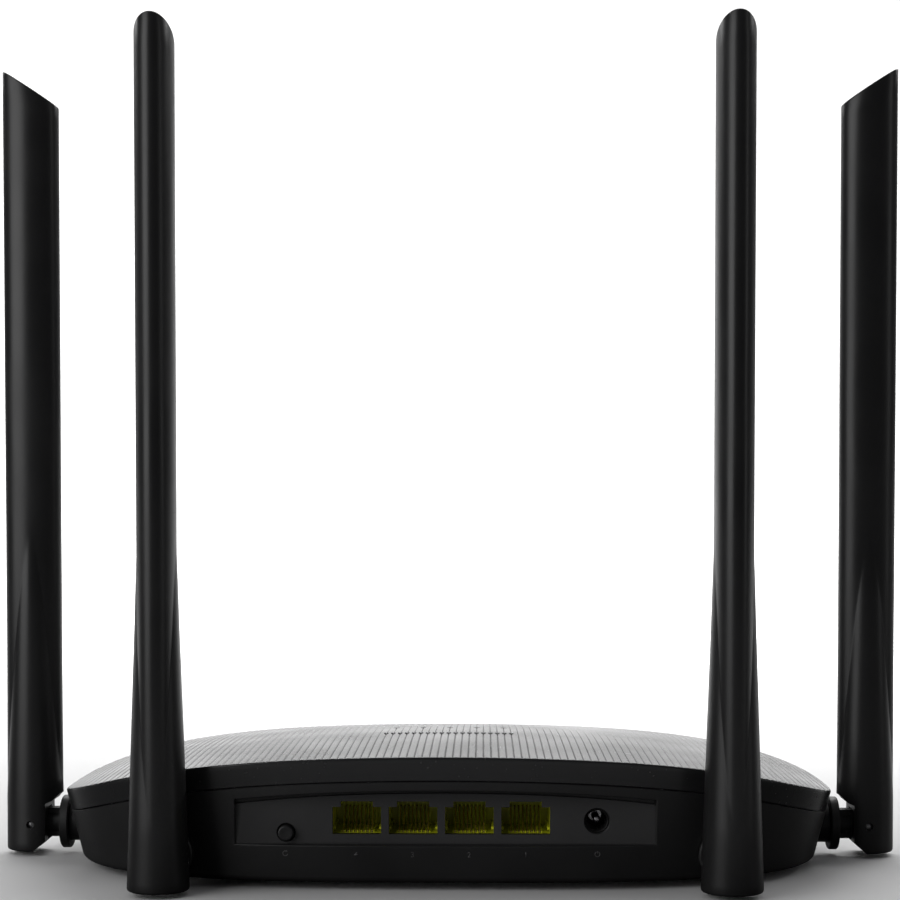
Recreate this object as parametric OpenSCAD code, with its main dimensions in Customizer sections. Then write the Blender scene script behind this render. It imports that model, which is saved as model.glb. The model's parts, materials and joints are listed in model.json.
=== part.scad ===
// Wireless router: a low crowned case with a port panel and four tilting antennas.
// Millimetres. X runs across the router, -Y is the port side, +Z is up and Z = 0 is the desk.
// Lengths named "setback" are measured from the rearmost point of the case towards the front.

/* [Case] */
// Width of the case at its bottom edge
base_w = 197; // [190:1:206]
// Depth of the case at its bottom edge
base_d = 118; // [116:1:122]
// Height of the case at the middle of the port side, without the feet
case_h = 31.7; // [31:0.1:34]
// Height of the rubber feet under the case
foot_h = 2; // [1.5:0.1:3]
// Thickness of the moulded walls
wall = 2; // [1.8:0.1:2.4]
// Height of the upper shell's rim band, down to the seam
rim_h = 6; // [5:0.1:7]
// Squareness of the case seen from above: 2 is an ellipse, higher is squarer
plan_power = 3; // [2.8:0.05:3.2]
// Outward lean of the side walls, in millimetres for each millimetre of height
side_draft = 0.25; // [0.2:0.01:0.3]
// Outward lean of the front and rear walls, in millimetres for each millimetre of height
end_draft = 0.095; // [0.06:0.005:0.12]

/* [Crown] */
// Fall of the lid 100 mm from its middle, round part
crown_round = 5.86; // [5:0.1:7]
// Fall of the lid 100 mm from its middle, shoulder part
crown_shoulder = 7.06; // [5:0.1:8]
// Fall of the lid from the port side to the front edge
front_fall = 5; // [3:0.1:6]
// Setback at which the lid starts to fall to the front
fall_start = 30; // [20:1:50]

/* [Port panel] */
// Half width of the recessed panel
panel_half_w = 52.2; // [50:0.1:54]
// Setback of the panel's face
panel_setback = 5.6; // [5.2:0.1:6.5]
// Height of the panel's lower edge above the case bottom
panel_low = 9.4; // [9:0.1:10]
// Height of the panel's upper edge above the case bottom, at the middle
panel_high = 23.2; // [22.8:0.1:24]
// Distance between neighbouring network sockets
port_pitch = 14; // [13.8:0.1:14.5]
// X of the middle of the row of sockets
port_mid_x = -1; // [-2:0.1:0]
// X of the power socket
power_x = 37.7; // [37:0.1:40]
// X of the reset button
reset_x = -39.6; // [-41:0.1:-39]

/* [Antennas] */
// Whole length of an antenna sleeve
sleeve_len = 212.4; // [150:0.1:230]
// Width of the blade, towards and away from the case
blade_w = 15.2; // [14:0.1:15.4]
// Thickness of the blade
blade_t = 9.7; // [9:0.1:11]
// Radius of the round foot of the sleeve
foot_r = 7.7; // [7.6:0.1:8]
// Height over which the round foot narrows into the blade
flare_len = 85; // [70:1:100]
// Drop of the slanted tip for each millimetre of width
tip_slope = 0.65; // [0.4:0.05:0.8]
// Height of the hinge pin above the desk
hinge_z = 8.6; // [8.5:0.1:9]
// Height of the hinge pin above the sleeve's lower end
pin_rise = 7.4; // [7.2:0.1:7.4]
// Distance of each rear antenna from the middle plane
rear_x = 70.3; // [68:0.1:72]
// Setback of the side antennas
side_setback = 59; // [56:0.1:64]

/* [Lid openings] */
// Number of air slots in the lid
slot_count = 19; // [9:2:25]
// Distance between neighbouring air slots and between the lid's ribs
rib_pitch = 1.9; // [1.9:0.1:2.2]
// Setback of the row of air slots
slot_setback = 58; // [50:1:66]
// Width of each air slot
slot_w = 1.2; // [1:0.1:1.3]
// Length of each air slot
slot_len = 4.4; // [3:0.1:6]

/* [Hidden] */
places = ["rear_left", "rear_right", "side_left", "side_right"];
antenna_pieces = ["sleeve", "radiator", "feed_lead", "hinge_pin", "knuckle", "retaining_clip", "case_lead"];

$fn = 48;
plan_points = 96;
half_base_w = base_w / 2;
half_base_d = base_d / 2;
half_rim_d = half_base_d + end_draft * case_h;
front_rim_z = case_h - front_fall;
front_reach = half_rim_d + half_base_d + end_draft * front_rim_z;

// Hinge: distances from the hinge pin towards the case
flange_face = 7.7;
flange_t = 2.4;
flange_r = 7.2;
hinge_gap = 0.1;
hub_r = 3.9;
tongue_t = 4.6;
slot_t = 5.0;
pin_r = 1.0;
pin_bore_r = 1.04;
stub_r = 4.0;
stub_bore_r = 4.05;
clip_r = 4.5;
clip_t = 1.0;
lead_r = 0.7;
boss_r = 5.2;
spot_face_r = 7.5;
rear_boss_setback = 8.0;
rear_boss_len = 8.2;
side_boss_x = 103.6;
side_boss_len = 9.6;
rear_pin_setback = rear_boss_setback - hinge_gap - flange_t - flange_face;
side_pin_x = side_boss_x + hinge_gap + flange_t + flange_face;

// The origin is under the middle of the whole router's bounding box
rear_y = -(front_reach + rear_pin_setback - foot_r) / 2;
mid_y = rear_y + half_rim_d;

// Board
board_z = foot_h + 7.9;
board_t = 1.6;
board_top = board_z + board_t;
board_half_w = 78;
board_front = 84;
board_shoulder = 21;
board_tongue_half_w = 57;
board_rear = 9;
board_screw_spots = [[-73, 34], [73, 34], [-73, 79], [73, 79]];
terminal_rear = [68, 26];
terminal_side = [74, side_setback];

// Case fastenings
case_screw_spots = [for (x = [-84, 84]) for (dy = [-32, 32]) [x, half_rim_d + dy]];
foot_spots = [for (x = [-70, 70]) for (dy = [-35, 35]) [x, half_rim_d + dy]];
pad_r = 6;
pad_sink = 0.6;
screw_post_r = 4.2;
screw_post_h = 6;
screw_hole_r = 1.6;
screw_head_r = 2.8;
screw_sink_r = 3.2;
screw_sink_h = 2;
board_post_r = 3;
board_hole_r = 1.2;
lid_post_r = 3.4;
lid_post_low = 7.2;
lid_hole_r = 1.3;
vent_count = 12;
vent_pitch = 5;
vent_w = 2;
vent_len = 22;
vent_setback = 54;
label_w = 70;
label_d = 28;
label_setback = 18;
keyhole_x = 50;
keyhole_setback = 96;
keyhole_r = 3.5;
keyhole_slot_w = 3.6;
keyhole_slot_len = 7;
seam_gap = 0.15;

// Sockets
port_w = 12.1;
port_low = 11.8;
port_step = 6.8;
port_tab_w = 8.0;
port_tab_h = 1.4;
jack_back = 28.6;
jack_top = 25;
panel_back = panel_setback + wall;
power_z = foot_h + 15.2;
power_r = 3.05;
reset_z = foot_h + 12.2;
reset_r = 1.95;
reset_hole_r = 2.15;
window_setback = 81;
window_r = 0.85;
guide_r = 0.7;
window_spots = [for (i = [-2 : 2]) 4 * rib_pitch * i];

function port_x(i) = port_mid_x + (i - 1.5) * port_pitch;
function crown(x) = crown_round * pow(x / 100, 2) + crown_shoulder * pow(x / 100, 4);
function fall(s) = pow(max(0, s - fall_start) / (2 * half_rim_d - fall_start), 2);
// Height of the lid above the case bottom at x and at setback s
function lid_z(x, s) = case_h - front_fall * fall(s) - crown(x) * (1 - 0.3 * fall(s));
function signed_pow(v, p) = sign(v) * pow(abs(v), p);

// ---------- shapes of the case ----------

// Plan outline at height z: a squarish oval with half sizes a and b
function plan_ring(a, b, z) = [for (i = [0 : plan_points - 1])
    let (t = 360 * i / plan_points)
    [a * signed_pow(cos(t), 2 / plan_power), b * signed_pow(sin(t), 2 / plan_power), z]];

// The case's leaning walls as a solid block, shrunk by inset
module drafted_block(inset) {
    h = case_h + 2;
    n = plan_points;
    a = half_base_w - inset;
    b = half_base_d - inset;
    low = plan_ring(a, b, 0);
    high = plan_ring(a + side_draft * h, b + end_draft * h, h);
    walls = [for (i = [0 : n - 1])
        let (j = (i + 1) % n)
        each [[i, n + i, n + j], [i, n + j, j]]];
    translate([0, mid_y, foot_h])
        polyhedron(points = concat(low, high),
                   faces = concat(walls, [[for (i = [0 : n - 1]) i]],
                                  [[for (i = [n - 1 : -1 : 0]) n + i]]));
}

// Everything under the lid's crowned surface, moved up by lift
module crowned_block(lift) {
    nx = 26;
    ny = 9;
    half = 112;
    low = -20;
    reach = 2 * half_rim_d + 6;
    xs = [for (i = [0 : nx]) -half + 2 * half * i / nx];
    ss = [for (j = [0 : ny]) -3 + reach * j / ny];
    top = [for (s = ss) for (x = xs) [x, rear_y + s, foot_h + lid_z(x, s) + lift]];
    base = [for (s = [ss[0], ss[ny]]) for (x = [-half, half]) [x, rear_y + s, low]];
    m = nx + 1;
    b0 = len(top);
    cells = [for (j = [0 : ny - 1]) for (i = [0 : nx - 1])
        let (k = j * m + i)
        each [[k, k + m, k + 1], [k + 1, k + m, k + m + 1]]];
    near = [concat([b0], [for (i = [0 : nx]) i], [b0 + 1])];
    far = [concat([b0 + 3], [for (i = [nx : -1 : 0]) ny * m + i], [b0 + 2])];
    left = [concat([b0 + 2], [for (j = [ny : -1 : 0]) j * m], [b0])];
    right = [concat([b0 + 1], [for (j = [0 : ny]) j * m + nx], [b0 + 3])];
    polyhedron(points = concat(top, base),
               faces = concat(cells, near, far, left, right, [[b0, b0 + 1, b0 + 3, b0 + 2]]));
}

// A rod along +Y from setback s, at x and height z
module rod_y(x, s, z, r, len) {
    translate([x, rear_y + s, z]) rotate([-90, 0, 0]) cylinder(r = r, h = len);
}

// Outline of the recessed panel in X and height, grown by grow
module panel_outline(grow) {
    w = panel_half_w + grow;
    steps = 12;
    polygon(concat(
        [[-w, panel_low - grow]],
        [for (i = [0 : steps])
            let (x = -w + 2 * w * i / steps)
            [x, panel_high + grow - 1.25 * crown(x)]],
        [[w, panel_low - grow]]));
}

module panel_prism(s0, s1, grow) {
    translate([0, rear_y + s1, foot_h]) rotate([90, 0, 0])
        linear_extrude(height = s1 - s0) panel_outline(grow);
}

// Stepped mouth of a network socket, from setback s0 to s1
module port_mouth(i, s0, s1) {
    translate([port_x(i) - port_w / 2, rear_y + s0, foot_h + port_low])
        cube([port_w, s1 - s0, port_step]);
    translate([port_x(i) - port_tab_w / 2, rear_y + s0, foot_h + port_low + 1])
        cube([port_tab_w, s1 - s0, port_step + port_tab_h - 1]);
}

module keyhole(x) {
    translate([x, rear_y + keyhole_setback, foot_h - 1]) {
        cylinder(r = keyhole_r, h = wall + 2);
        translate([-keyhole_slot_w / 2, 0, 0]) cube([keyhole_slot_w, keyhole_slot_len, wall + 2]);
    }
}

// ---------- case ----------

module antenna_bosses() {
    intersection() {
        union() {
            for (x = [-rear_x, rear_x])
                rod_y(x, rear_boss_setback, hinge_z, boss_r, rear_boss_len);
            for (d = [-1, 1])
                translate([d * (side_boss_x - side_boss_len / 2), rear_y + side_setback, hinge_z])
                    rotate([0, 90, 0]) cylinder(r = boss_r, h = side_boss_len, center = true);
        }
        translate([-120, rear_y - 5, foot_h]) cube([240, 140, 40]);
    }
}

module stub_bores() {
    for (x = [-rear_x, rear_x]) rod_y(x, -1, hinge_z, stub_bore_r, 22);
    for (d = [-1, 1])
        translate([d * 100, rear_y + side_setback, hinge_z])
            rotate([0, 90, 0]) cylinder(r = stub_bore_r, h = 22, center = true);
}

// Everything that is cut through or sunk into the underside
module underside_cuts() {
    for (p = board_screw_spots)
        translate([p[0], rear_y + p[1], foot_h + 2]) cylinder(r = board_hole_r, h = 8);
    for (p = case_screw_spots)
        translate([p[0], rear_y + p[1], foot_h - 1]) {
            cylinder(r = screw_hole_r, h = 10);
            cylinder(r = screw_sink_r, h = 1 + screw_sink_h);
        }
    for (p = foot_spots)
        translate([p[0], rear_y + p[1], foot_h - 1]) cylinder(r = pad_r + 0.1, h = 1 + pad_sink);
    for (x = [-keyhole_x, keyhole_x]) keyhole(x);
    for (i = [0 : vent_count - 1])
        translate([(i - (vent_count - 1) / 2) * vent_pitch - vent_w / 2, rear_y + vent_setback, foot_h - 1])
            cube([vent_w, vent_len, wall + 2]);
    translate([-label_w / 2, rear_y + label_setback, foot_h - 1]) cube([label_w, label_d, 1.2]);
}

module bottom_case() {
    color([0.06, 0.06, 0.065]) difference() {
        union() {
            difference() {
                intersection() {
                    drafted_block(0);
                    crowned_block(-rim_h - seam_gap);
                }
                intersection() {
                    drafted_block(wall);
                    translate([-120, rear_y - 5, foot_h + wall]) cube([240, 140, 60]);
                }
            }
            intersection() {
                drafted_block(0.4);
                panel_prism(-4, panel_back, 1.6);
            }
            antenna_bosses();
            for (p = board_screw_spots)
                translate([p[0], rear_y + p[1], foot_h + 1])
                    cylinder(r = board_post_r, h = board_z - foot_h - 1);
            for (p = case_screw_spots)
                translate([p[0], rear_y + p[1], foot_h + 1]) cylinder(r = screw_post_r, h = screw_post_h);
        }
        panel_prism(-4, panel_setback, 0);
        for (i = [0 : 3]) port_mouth(i, panel_setback - 1, panel_back + 1);
        rod_y(power_x, panel_setback - 1, power_z, power_r, wall + 2);
        rod_y(reset_x, panel_setback - 1, reset_z, reset_hole_r, wall + 2);
        for (x = [-rear_x, rear_x]) rod_y(x, -1, hinge_z, spot_face_r, 1 + rear_boss_setback);
        stub_bores();
        underside_cuts();
    }
}

module top_cover() {
    color([0.10, 0.10, 0.105]) difference() {
        union() {
            difference() {
                intersection() {
                    drafted_block(0);
                    crowned_block(0);
                }
                intersection() {
                    drafted_block(wall);
                    crowned_block(-wall);
                }
                crowned_block(-rim_h);
            }
            intersection() {
                for (p = case_screw_spots)
                    translate([p[0], rear_y + p[1], foot_h + lid_post_low])
                        cylinder(r = lid_post_r, h = 25);
                crowned_block(-wall / 2);
            }
        }
        for (i = [0 : slot_count - 1])
            translate([(i - (slot_count - 1) / 2) * rib_pitch - slot_w / 2,
                       rear_y + slot_setback - slot_len / 2, foot_h + case_h - 6])
                cube([slot_w, slot_len, 10]);
        for (x = window_spots)
            translate([x, rear_y + window_setback, foot_h + 15]) cylinder(r = window_r, h = 20);
        for (p = case_screw_spots)
            translate([p[0], rear_y + p[1], foot_h + 6]) cylinder(r = lid_hole_r, h = 8);
    }
}

module rubber_feet() {
    color([0.09, 0.09, 0.09]) for (p = foot_spots)
        translate([p[0], rear_y + p[1], 0]) cylinder(r = pad_r, h = foot_h + pad_sink);
}

module case_screws() {
    color([0.55, 0.55, 0.57]) for (p = case_screw_spots)
        translate([p[0], rear_y + p[1], foot_h + 0.4]) {
            cylinder(r = screw_head_r, h = screw_sink_h - 0.4);
            cylinder(r = lid_hole_r, h = 11);
        }
}

module rating_label() {
    color([0.75, 0.75, 0.76])
        translate([-label_w / 2 + 0.2, rear_y + label_setback + 0.2, foot_h])
            cube([label_w - 0.4, label_d - 0.4, 0.2]);
}

// ---------- board and its parts ----------

// A box standing on the board, centred at x and setback s
module on_board(x, s, size, lift = 0) {
    translate([x - size[0] / 2, rear_y + s - size[1] / 2, board_top + lift]) cube(size);
}

module main_board() {
    color([0.05, 0.25, 0.12]) difference() {
        translate([0, rear_y, board_z]) linear_extrude(height = board_t) polygon([
            [-board_tongue_half_w, board_rear], [board_tongue_half_w, board_rear],
            [board_tongue_half_w, board_shoulder], [board_half_w, board_shoulder],
            [board_half_w, board_front], [-board_half_w, board_front],
            [-board_half_w, board_shoulder], [-board_tongue_half_w, board_shoulder]]);
        for (p = board_screw_spots)
            translate([p[0], rear_y + p[1], board_z - 1]) cylinder(r = 1.6, h = 4);
    }
}

module board_screws() {
    color([0.7, 0.7, 0.72]) for (p = board_screw_spots)
        translate([p[0], rear_y + p[1], 0]) {
            translate([0, 0, board_top]) cylinder(r = screw_head_r, h = 1.8);
            translate([0, 0, board_z - 4]) cylinder(r = board_hole_r, h = 6);
        }
}

// Four sockets side by side in one moulding, each with a stepped mouth
module lan_jack_housing() {
    low = port_x(0) - port_pitch / 2 - 1;
    color([0.45, 0.46, 0.05]) difference() {
        translate([low, rear_y + panel_back + 0.05, board_top])
            cube([4 * port_pitch + 2, jack_back - panel_back, jack_top - board_top]);
        for (i = [0 : 3]) port_mouth(i, panel_back - 1, panel_back + 14);
    }
}

// Eight sprung wires for each socket, rising towards the back of the socket
module lan_jack_contacts() {
    start = panel_back + 3.4;
    rise = 3.6;
    run = 9;
    color([0.85, 0.78, 0.5]) for (i = [0 : 3]) for (k = [0 : 7])
        translate([port_x(i) + (k - 3.5) * 1.02, rear_y + start, foot_h + port_low + 0.55])
            rotate([-90 + atan(rise / run), 0, 0]) cylinder(r = 0.2, h = norm([rise, run]));
}

module power_jack_body() {
    color([0.03, 0.03, 0.03]) difference() {
        translate([power_x - 4.7, rear_y + panel_back + 0.05, board_top]) cube([9.4, 13.4, 11.1]);
        rod_y(power_x, panel_back - 1, power_z, power_r, 11);
    }
}

module power_jack_pin() {
    color([0.8, 0.8, 0.82]) {
        rod_y(power_x, panel_back + 1.2, power_z, 0.95, 8.8);
        rod_y(power_x, panel_back + 9, power_z, 1.6, 1);
    }
}

module reset_button() {
    color([0.07, 0.07, 0.075]) {
        rod_y(reset_x, panel_setback - 1.8, reset_z, reset_r, wall + 2.6);
        rod_y(reset_x, panel_back + 0.15, reset_z, 2.6, 1);
        rod_y(reset_x, panel_back + 0.5, reset_z, 1.2, 3.2);
    }
}

module reset_switch() {
    color([0.3, 0.3, 0.32]) {
        on_board(reset_x, panel_back + 7.6, [6.2, 4, 5.4]);
        rod_y(reset_x, panel_back + 4.6, reset_z, 1.4, 2);
    }
}

processor_spot = [10, 56];
memory_spot = [-12, 54];
flash_spot = [-12, 69];
radio_spots = [[-44, 62], [42, 62]];
shield_w = 28;
shield_d = 26;
shield_h = 3.2;
shield_t = 0.3;
transformer_setback = 35.5;
inductor_spots = [[61, 44], [63, 54]];
crystal_spots = [[-27, 54], [-27, 66]];
// X, setback, radius and height of each capacitor
capacitor_cans = [[50, 30, 4, 11], [50, 41, 4, 11], [60, 32, 3, 8]];

module main_processor() {
    color([0.08, 0.08, 0.09]) on_board(processor_spot[0], processor_spot[1], [16, 16, 1.4]);
}

module thermal_pad() {
    color([0.6, 0.62, 0.68]) on_board(processor_spot[0], processor_spot[1], [15, 15, 0.5], 1.4);
}

module heat_sink() {
    fins = 8;
    side = 28;
    fin_t = 1.2;
    x = processor_spot[0];
    s = processor_spot[1];
    color([0.65, 0.66, 0.68]) {
        on_board(x, s, [side, side, 2], 1.9);
        for (i = [0 : fins - 1])
            on_board(x + (side - fin_t) * (i / (fins - 1) - 0.5), s, [fin_t, side, 8], 3.5);
    }
}

module memory_chip() {
    color([0.08, 0.08, 0.09]) on_board(memory_spot[0], memory_spot[1], [10, 13, 1.1]);
}

module flash_chip() {
    color([0.08, 0.08, 0.09]) on_board(flash_spot[0], flash_spot[1], [6, 5, 1.6]);
}

module radio_chips() {
    color([0.08, 0.08, 0.09]) for (p = radio_spots) on_board(p[0], p[1], [9, 9, 1]);
}

module radio_shields() {
    color([0.75, 0.75, 0.77]) for (p = radio_spots) difference() {
        on_board(p[0], p[1], [shield_w, shield_d, shield_h]);
        on_board(p[0], p[1],
                 [shield_w - 2 * shield_t, shield_d - 2 * shield_t, shield_h + 1 - shield_t], -1);
    }
}

module lan_transformers() {
    color([0.07, 0.07, 0.08]) for (i = [0 : 3]) on_board(port_x(i), transformer_setback, [12, 7, 5]);
}

module capacitors() {
    color([0.12, 0.13, 0.2]) for (c = capacitor_cans)
        translate([c[0], rear_y + c[1], board_top]) cylinder(r = c[2], h = c[3]);
}

module inductors() {
    color([0.2, 0.2, 0.21]) for (p = inductor_spots) on_board(p[0], p[1], [7, 7, 4]);
}

module crystals() {
    color([0.8, 0.8, 0.82]) for (p = crystal_spots) on_board(p[0], p[1], [5, 3.2, 1]);
}

module coax_terminals() {
    color([0.85, 0.7, 0.35]) for (d = [-1, 1]) for (p = [terminal_rear, terminal_side])
        on_board(d * p[0], p[1], [3, 3, 1]);
}

module status_leds() {
    color([0.9, 0.9, 0.85]) for (x = window_spots) on_board(x, window_setback, [1.6, 1.6, 0.8]);
}

// Clear pins over the lamps, joined by a bar, ending flush with the lid
module light_guide() {
    color([0.85, 0.88, 0.9, 0.7]) intersection() {
        union() {
            for (x = window_spots)
                translate([x, rear_y + window_setback, board_top + 1]) cylinder(r = guide_r, h = 30);
            on_board(0, window_setback, [4 * 4 * rib_pitch + 4, 2, 2], 5);
        }
        crowned_block(-0.2);
    }
}

// ---------- antennas ----------

// Turns a hinge's own frame into place: its +X points at the case and its origin is the pin
module at_hinge(place) {
    rear = place == "rear_left" || place == "rear_right";
    side = place == "rear_left" || place == "side_left" ? -1 : 1;
    turn = rear ? 90 : (side < 0 ? 0 : 180);
    spot = rear ? [side * rear_x, rear_y + rear_pin_setback, hinge_z]
                : [side * side_pin_x, rear_y + side_setback, hinge_z];
    translate(spot) rotate([0, 0, turn]) children();
}

// Oval section of the blade, shrunk by inset
module blade_section(inset) {
    n = 40;
    polygon([for (i = [0 : n - 1])
        [(blade_w / 2 - inset) * cos(360 * i / n), (blade_t / 2 - inset) * sin(360 * i / n)]]);
}

module pin_hole(r, len) { rotate([90, 0, 0]) cylinder(r = r, h = len, center = true); }

// Room for the knuckle's tongue at rest and when the antenna is tilted outwards
module fork_slot() {
    pin_hole(hub_r + 0.4, slot_t);
    translate([-hub_r - 0.4, -slot_t / 2, -12]) cube([24, slot_t, 12]);
    translate([0, -slot_t / 2, -12]) cube([24, slot_t, 12 + hub_r + 0.4]);
}

// Side view of what is cut from the ears so that they clear the flange
module ear_relief() {
    reach = foot_r + 1;
    rotate([90, 0, 0]) linear_extrude(height = 2 * reach, center = true) polygon([
        [0.6, -pin_rise - 1], [0.6, -pin_rise], [3.9, -4.6], [3.9, 5.6], [5.5, 6.2],
        [7.3, 8.1], [reach + 3, 8.1], [reach + 3, -pin_rise - 1]]);
}

module sleeve() {
    tip = sleeve_len - pin_rise;
    color([0.07, 0.07, 0.075]) difference() {
        translate([0, 0, -pin_rise]) {
            cylinder(r1 = foot_r, r2 = blade_t / 2, h = flare_len, $fn = 64);
            linear_extrude(height = sleeve_len) blade_section(0);
        }
        translate([-blade_w / 2, 0, tip]) rotate([0, atan(tip_slope), 0])
            translate([-10, -15, 0]) cube([40, 30, 30]);
        translate([0, 0, 12]) linear_extrude(height = tip - 28) blade_section(1.6);
        cylinder(r = 2, h = 14);
        fork_slot();
        ear_relief();
        pin_hole(pin_r, 40);
    }
}

module radiator() { color([0.1, 0.35, 0.2]) translate([-4.5, -0.4, 60]) cube([9, 0.8, 120]); }
module feed_lead() {
    color([0.15, 0.15, 0.15]) translate([0, 0.4 + lead_r, 6]) cylinder(r = lead_r, h = 58);
}

module hinge_pin() { color([0.6, 0.6, 0.62]) pin_hole(pin_r, 12.8); }

// Tongue, flange and hollow stub that turns in the case's boss
module knuckle(boss_len) {
    stub_end = flange_face + flange_t + hinge_gap + boss_len + hinge_gap + clip_t + 0.6;
    groove = stub_end - clip_t - 0.6;
    color([0.05, 0.05, 0.055]) difference() {
        union() {
            pin_hole(hub_r, tongue_t);
            translate([0, -tongue_t / 2, -hub_r]) cube([flange_face + 0.5, tongue_t, 2 * hub_r]);
            translate([flange_face, 0, 0]) rotate([0, 90, 0]) cylinder(r = flange_r, h = flange_t);
            rotate([0, 90, 0]) cylinder(r = stub_r, h = stub_end);
        }
        pin_hole(pin_bore_r, 20);
        translate([-12, -8, -8]) cube([12 - hub_r, 16, 16]);
        for (d = [-1, 1])
            translate([-1, d * (tongue_t / 2 + 5) - 5, -6]) cube([flange_face + 1, 10, 12]);
        translate([3.4, 0, 0]) rotate([0, 90, 0]) cylinder(r = 1.2, h = 30);
        translate([groove, 0, 0]) rotate([0, 90, 0]) difference() {
            cylinder(r = stub_r + 1, h = clip_t);
            translate([0, 0, -1]) cylinder(r = 3.3, h = clip_t + 2);
        }
    }
}

module retaining_clip(boss_len) {
    at = flange_face + flange_t + hinge_gap + boss_len + hinge_gap;
    color([0.6, 0.6, 0.62]) translate([at, 0, 0]) rotate([0, 90, 0]) difference() {
        cylinder(r = clip_r, h = clip_t - 0.04);
        translate([0, 0, -1]) cylinder(r = 3.32, h = clip_t + 2);
        translate([-1.2, 0, -1]) cube([2.4, 6, clip_t + 2]);
    }
}

// A run of round lead through a list of points, with ball elbows
module lead_run(points) {
    for (i = [0 : len(points) - 2]) {
        v = points[i + 1] - points[i];
        translate(points[i]) {
            rotate([0, acos(v[2] / norm(v)), atan2(v[1], v[0])]) cylinder(r = lead_r, h = norm(v));
            if (i > 0) sphere(r = lead_r + 0.03);
        }
    }
}

// The lead from inside the stub to its terminal on the board
module case_lead(place) {
    side = place == "rear_left" || place == "side_left" ? -1 : 1;
    over = board_top + 1 + lead_r;
    color([0.12, 0.12, 0.12]) if (place == "rear_left" || place == "rear_right")
        lead_run([[side * rear_x, rear_y + 12, hinge_z],
                  [side * rear_x, rear_y + 18.6, hinge_z],
                  [side * rear_x, rear_y + 19.2, over],
                  [side * terminal_rear[0], rear_y + terminal_rear[1], over]]);
    else
        lead_run([[side * 98, rear_y + side_setback, hinge_z],
                  [side * 88, rear_y + side_setback, hinge_z],
                  [side * 81, rear_y + side_setback, over],
                  [side * terminal_side[0], rear_y + side_setback, over]]);
}

module antenna_piece(place, piece) {
    boss_len = place == "rear_left" || place == "rear_right" ? rear_boss_len : side_boss_len;
    if (piece == "sleeve") at_hinge(place) sleeve();
    if (piece == "radiator") at_hinge(place) radiator();
    if (piece == "feed_lead") at_hinge(place) feed_lead();
    if (piece == "hinge_pin") at_hinge(place) hinge_pin();
    if (piece == "knuckle") at_hinge(place) knuckle(boss_len);
    if (piece == "retaining_clip") at_hinge(place) retaining_clip(boss_len);
    if (piece == "case_lead") case_lead(place);
}

bottom_case();
top_cover();
rubber_feet();
case_screws();
rating_label();
main_board();
board_screws();
lan_jack_housing();
lan_jack_contacts();
power_jack_body();
power_jack_pin();
reset_button();
reset_switch();
main_processor();
thermal_pad();
heat_sink();
memory_chip();
flash_chip();
radio_chips();
radio_shields();
lan_transformers();
capacitors();
inductors();
crystals();
coax_terminals();
status_leds();
light_guide();
for (place = places)
    for (piece = antenna_pieces)
        antenna_piece(place, piece);
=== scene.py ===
"""Wireless router: a low crowned case with a port panel and four tilting antennas.

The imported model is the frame; this script builds the visible skins, fittings and finishes
around it. Shapes are worked out in millimetres and stored in metres, port side towards -Y,
desk at Z = 0. A "setback" is a distance from the rearmost point of the case to the front.
Spots on the port panel are (x, z), feet and case screws are (x, distance from the middle of the
case), and board screws are (x, setback).
"""

import json
import logging
import math
from dataclasses import dataclass
from enum import Enum

import bmesh
import bpy
import numpy as np
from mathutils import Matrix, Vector

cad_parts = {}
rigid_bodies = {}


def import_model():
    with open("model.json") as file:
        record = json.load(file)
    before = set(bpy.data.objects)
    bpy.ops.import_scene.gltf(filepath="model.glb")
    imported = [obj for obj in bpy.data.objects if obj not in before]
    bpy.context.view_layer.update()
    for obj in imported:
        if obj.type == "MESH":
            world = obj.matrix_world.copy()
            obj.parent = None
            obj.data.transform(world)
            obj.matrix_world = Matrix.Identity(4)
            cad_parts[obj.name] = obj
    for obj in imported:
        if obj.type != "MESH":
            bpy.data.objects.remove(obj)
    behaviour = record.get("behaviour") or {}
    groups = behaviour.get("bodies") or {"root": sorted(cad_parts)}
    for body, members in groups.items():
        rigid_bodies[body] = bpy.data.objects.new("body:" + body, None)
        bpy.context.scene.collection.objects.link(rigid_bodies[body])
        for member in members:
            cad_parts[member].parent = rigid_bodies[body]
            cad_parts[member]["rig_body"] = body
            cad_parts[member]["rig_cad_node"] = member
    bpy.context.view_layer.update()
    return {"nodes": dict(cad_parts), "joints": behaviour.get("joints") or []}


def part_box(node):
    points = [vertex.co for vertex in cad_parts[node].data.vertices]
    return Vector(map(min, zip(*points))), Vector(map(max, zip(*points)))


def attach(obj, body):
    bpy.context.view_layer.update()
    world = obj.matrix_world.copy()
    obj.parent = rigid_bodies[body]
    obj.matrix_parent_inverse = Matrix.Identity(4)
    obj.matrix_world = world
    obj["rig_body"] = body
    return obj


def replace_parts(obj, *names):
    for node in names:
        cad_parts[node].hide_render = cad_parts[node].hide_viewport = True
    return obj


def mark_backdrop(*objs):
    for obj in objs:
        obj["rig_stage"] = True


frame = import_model()

MM = 0.001
TURN = 2 * math.pi
MERGE_MM = 1e-4
FACE_SLACK = 5e-5
MM_PER_EM = 0.72
INLET_SPOT = (37.7, 17.2)
RESET_SPOT = (-39.6, 14.2)
FEET = [(x, d) for x in (-70, 70) for d in (-35, 35)]
CASE_SCREWS = [(x, d) for x in (-84, 84) for d in (-32, 32)]
BOARD_SCREWS = [(x, s) for x in (-73, 73) for s in (34, 79)]
Point = tuple[float, float, float]
log = logging.getLogger("router")


# ---------- surfaces ----------

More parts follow.
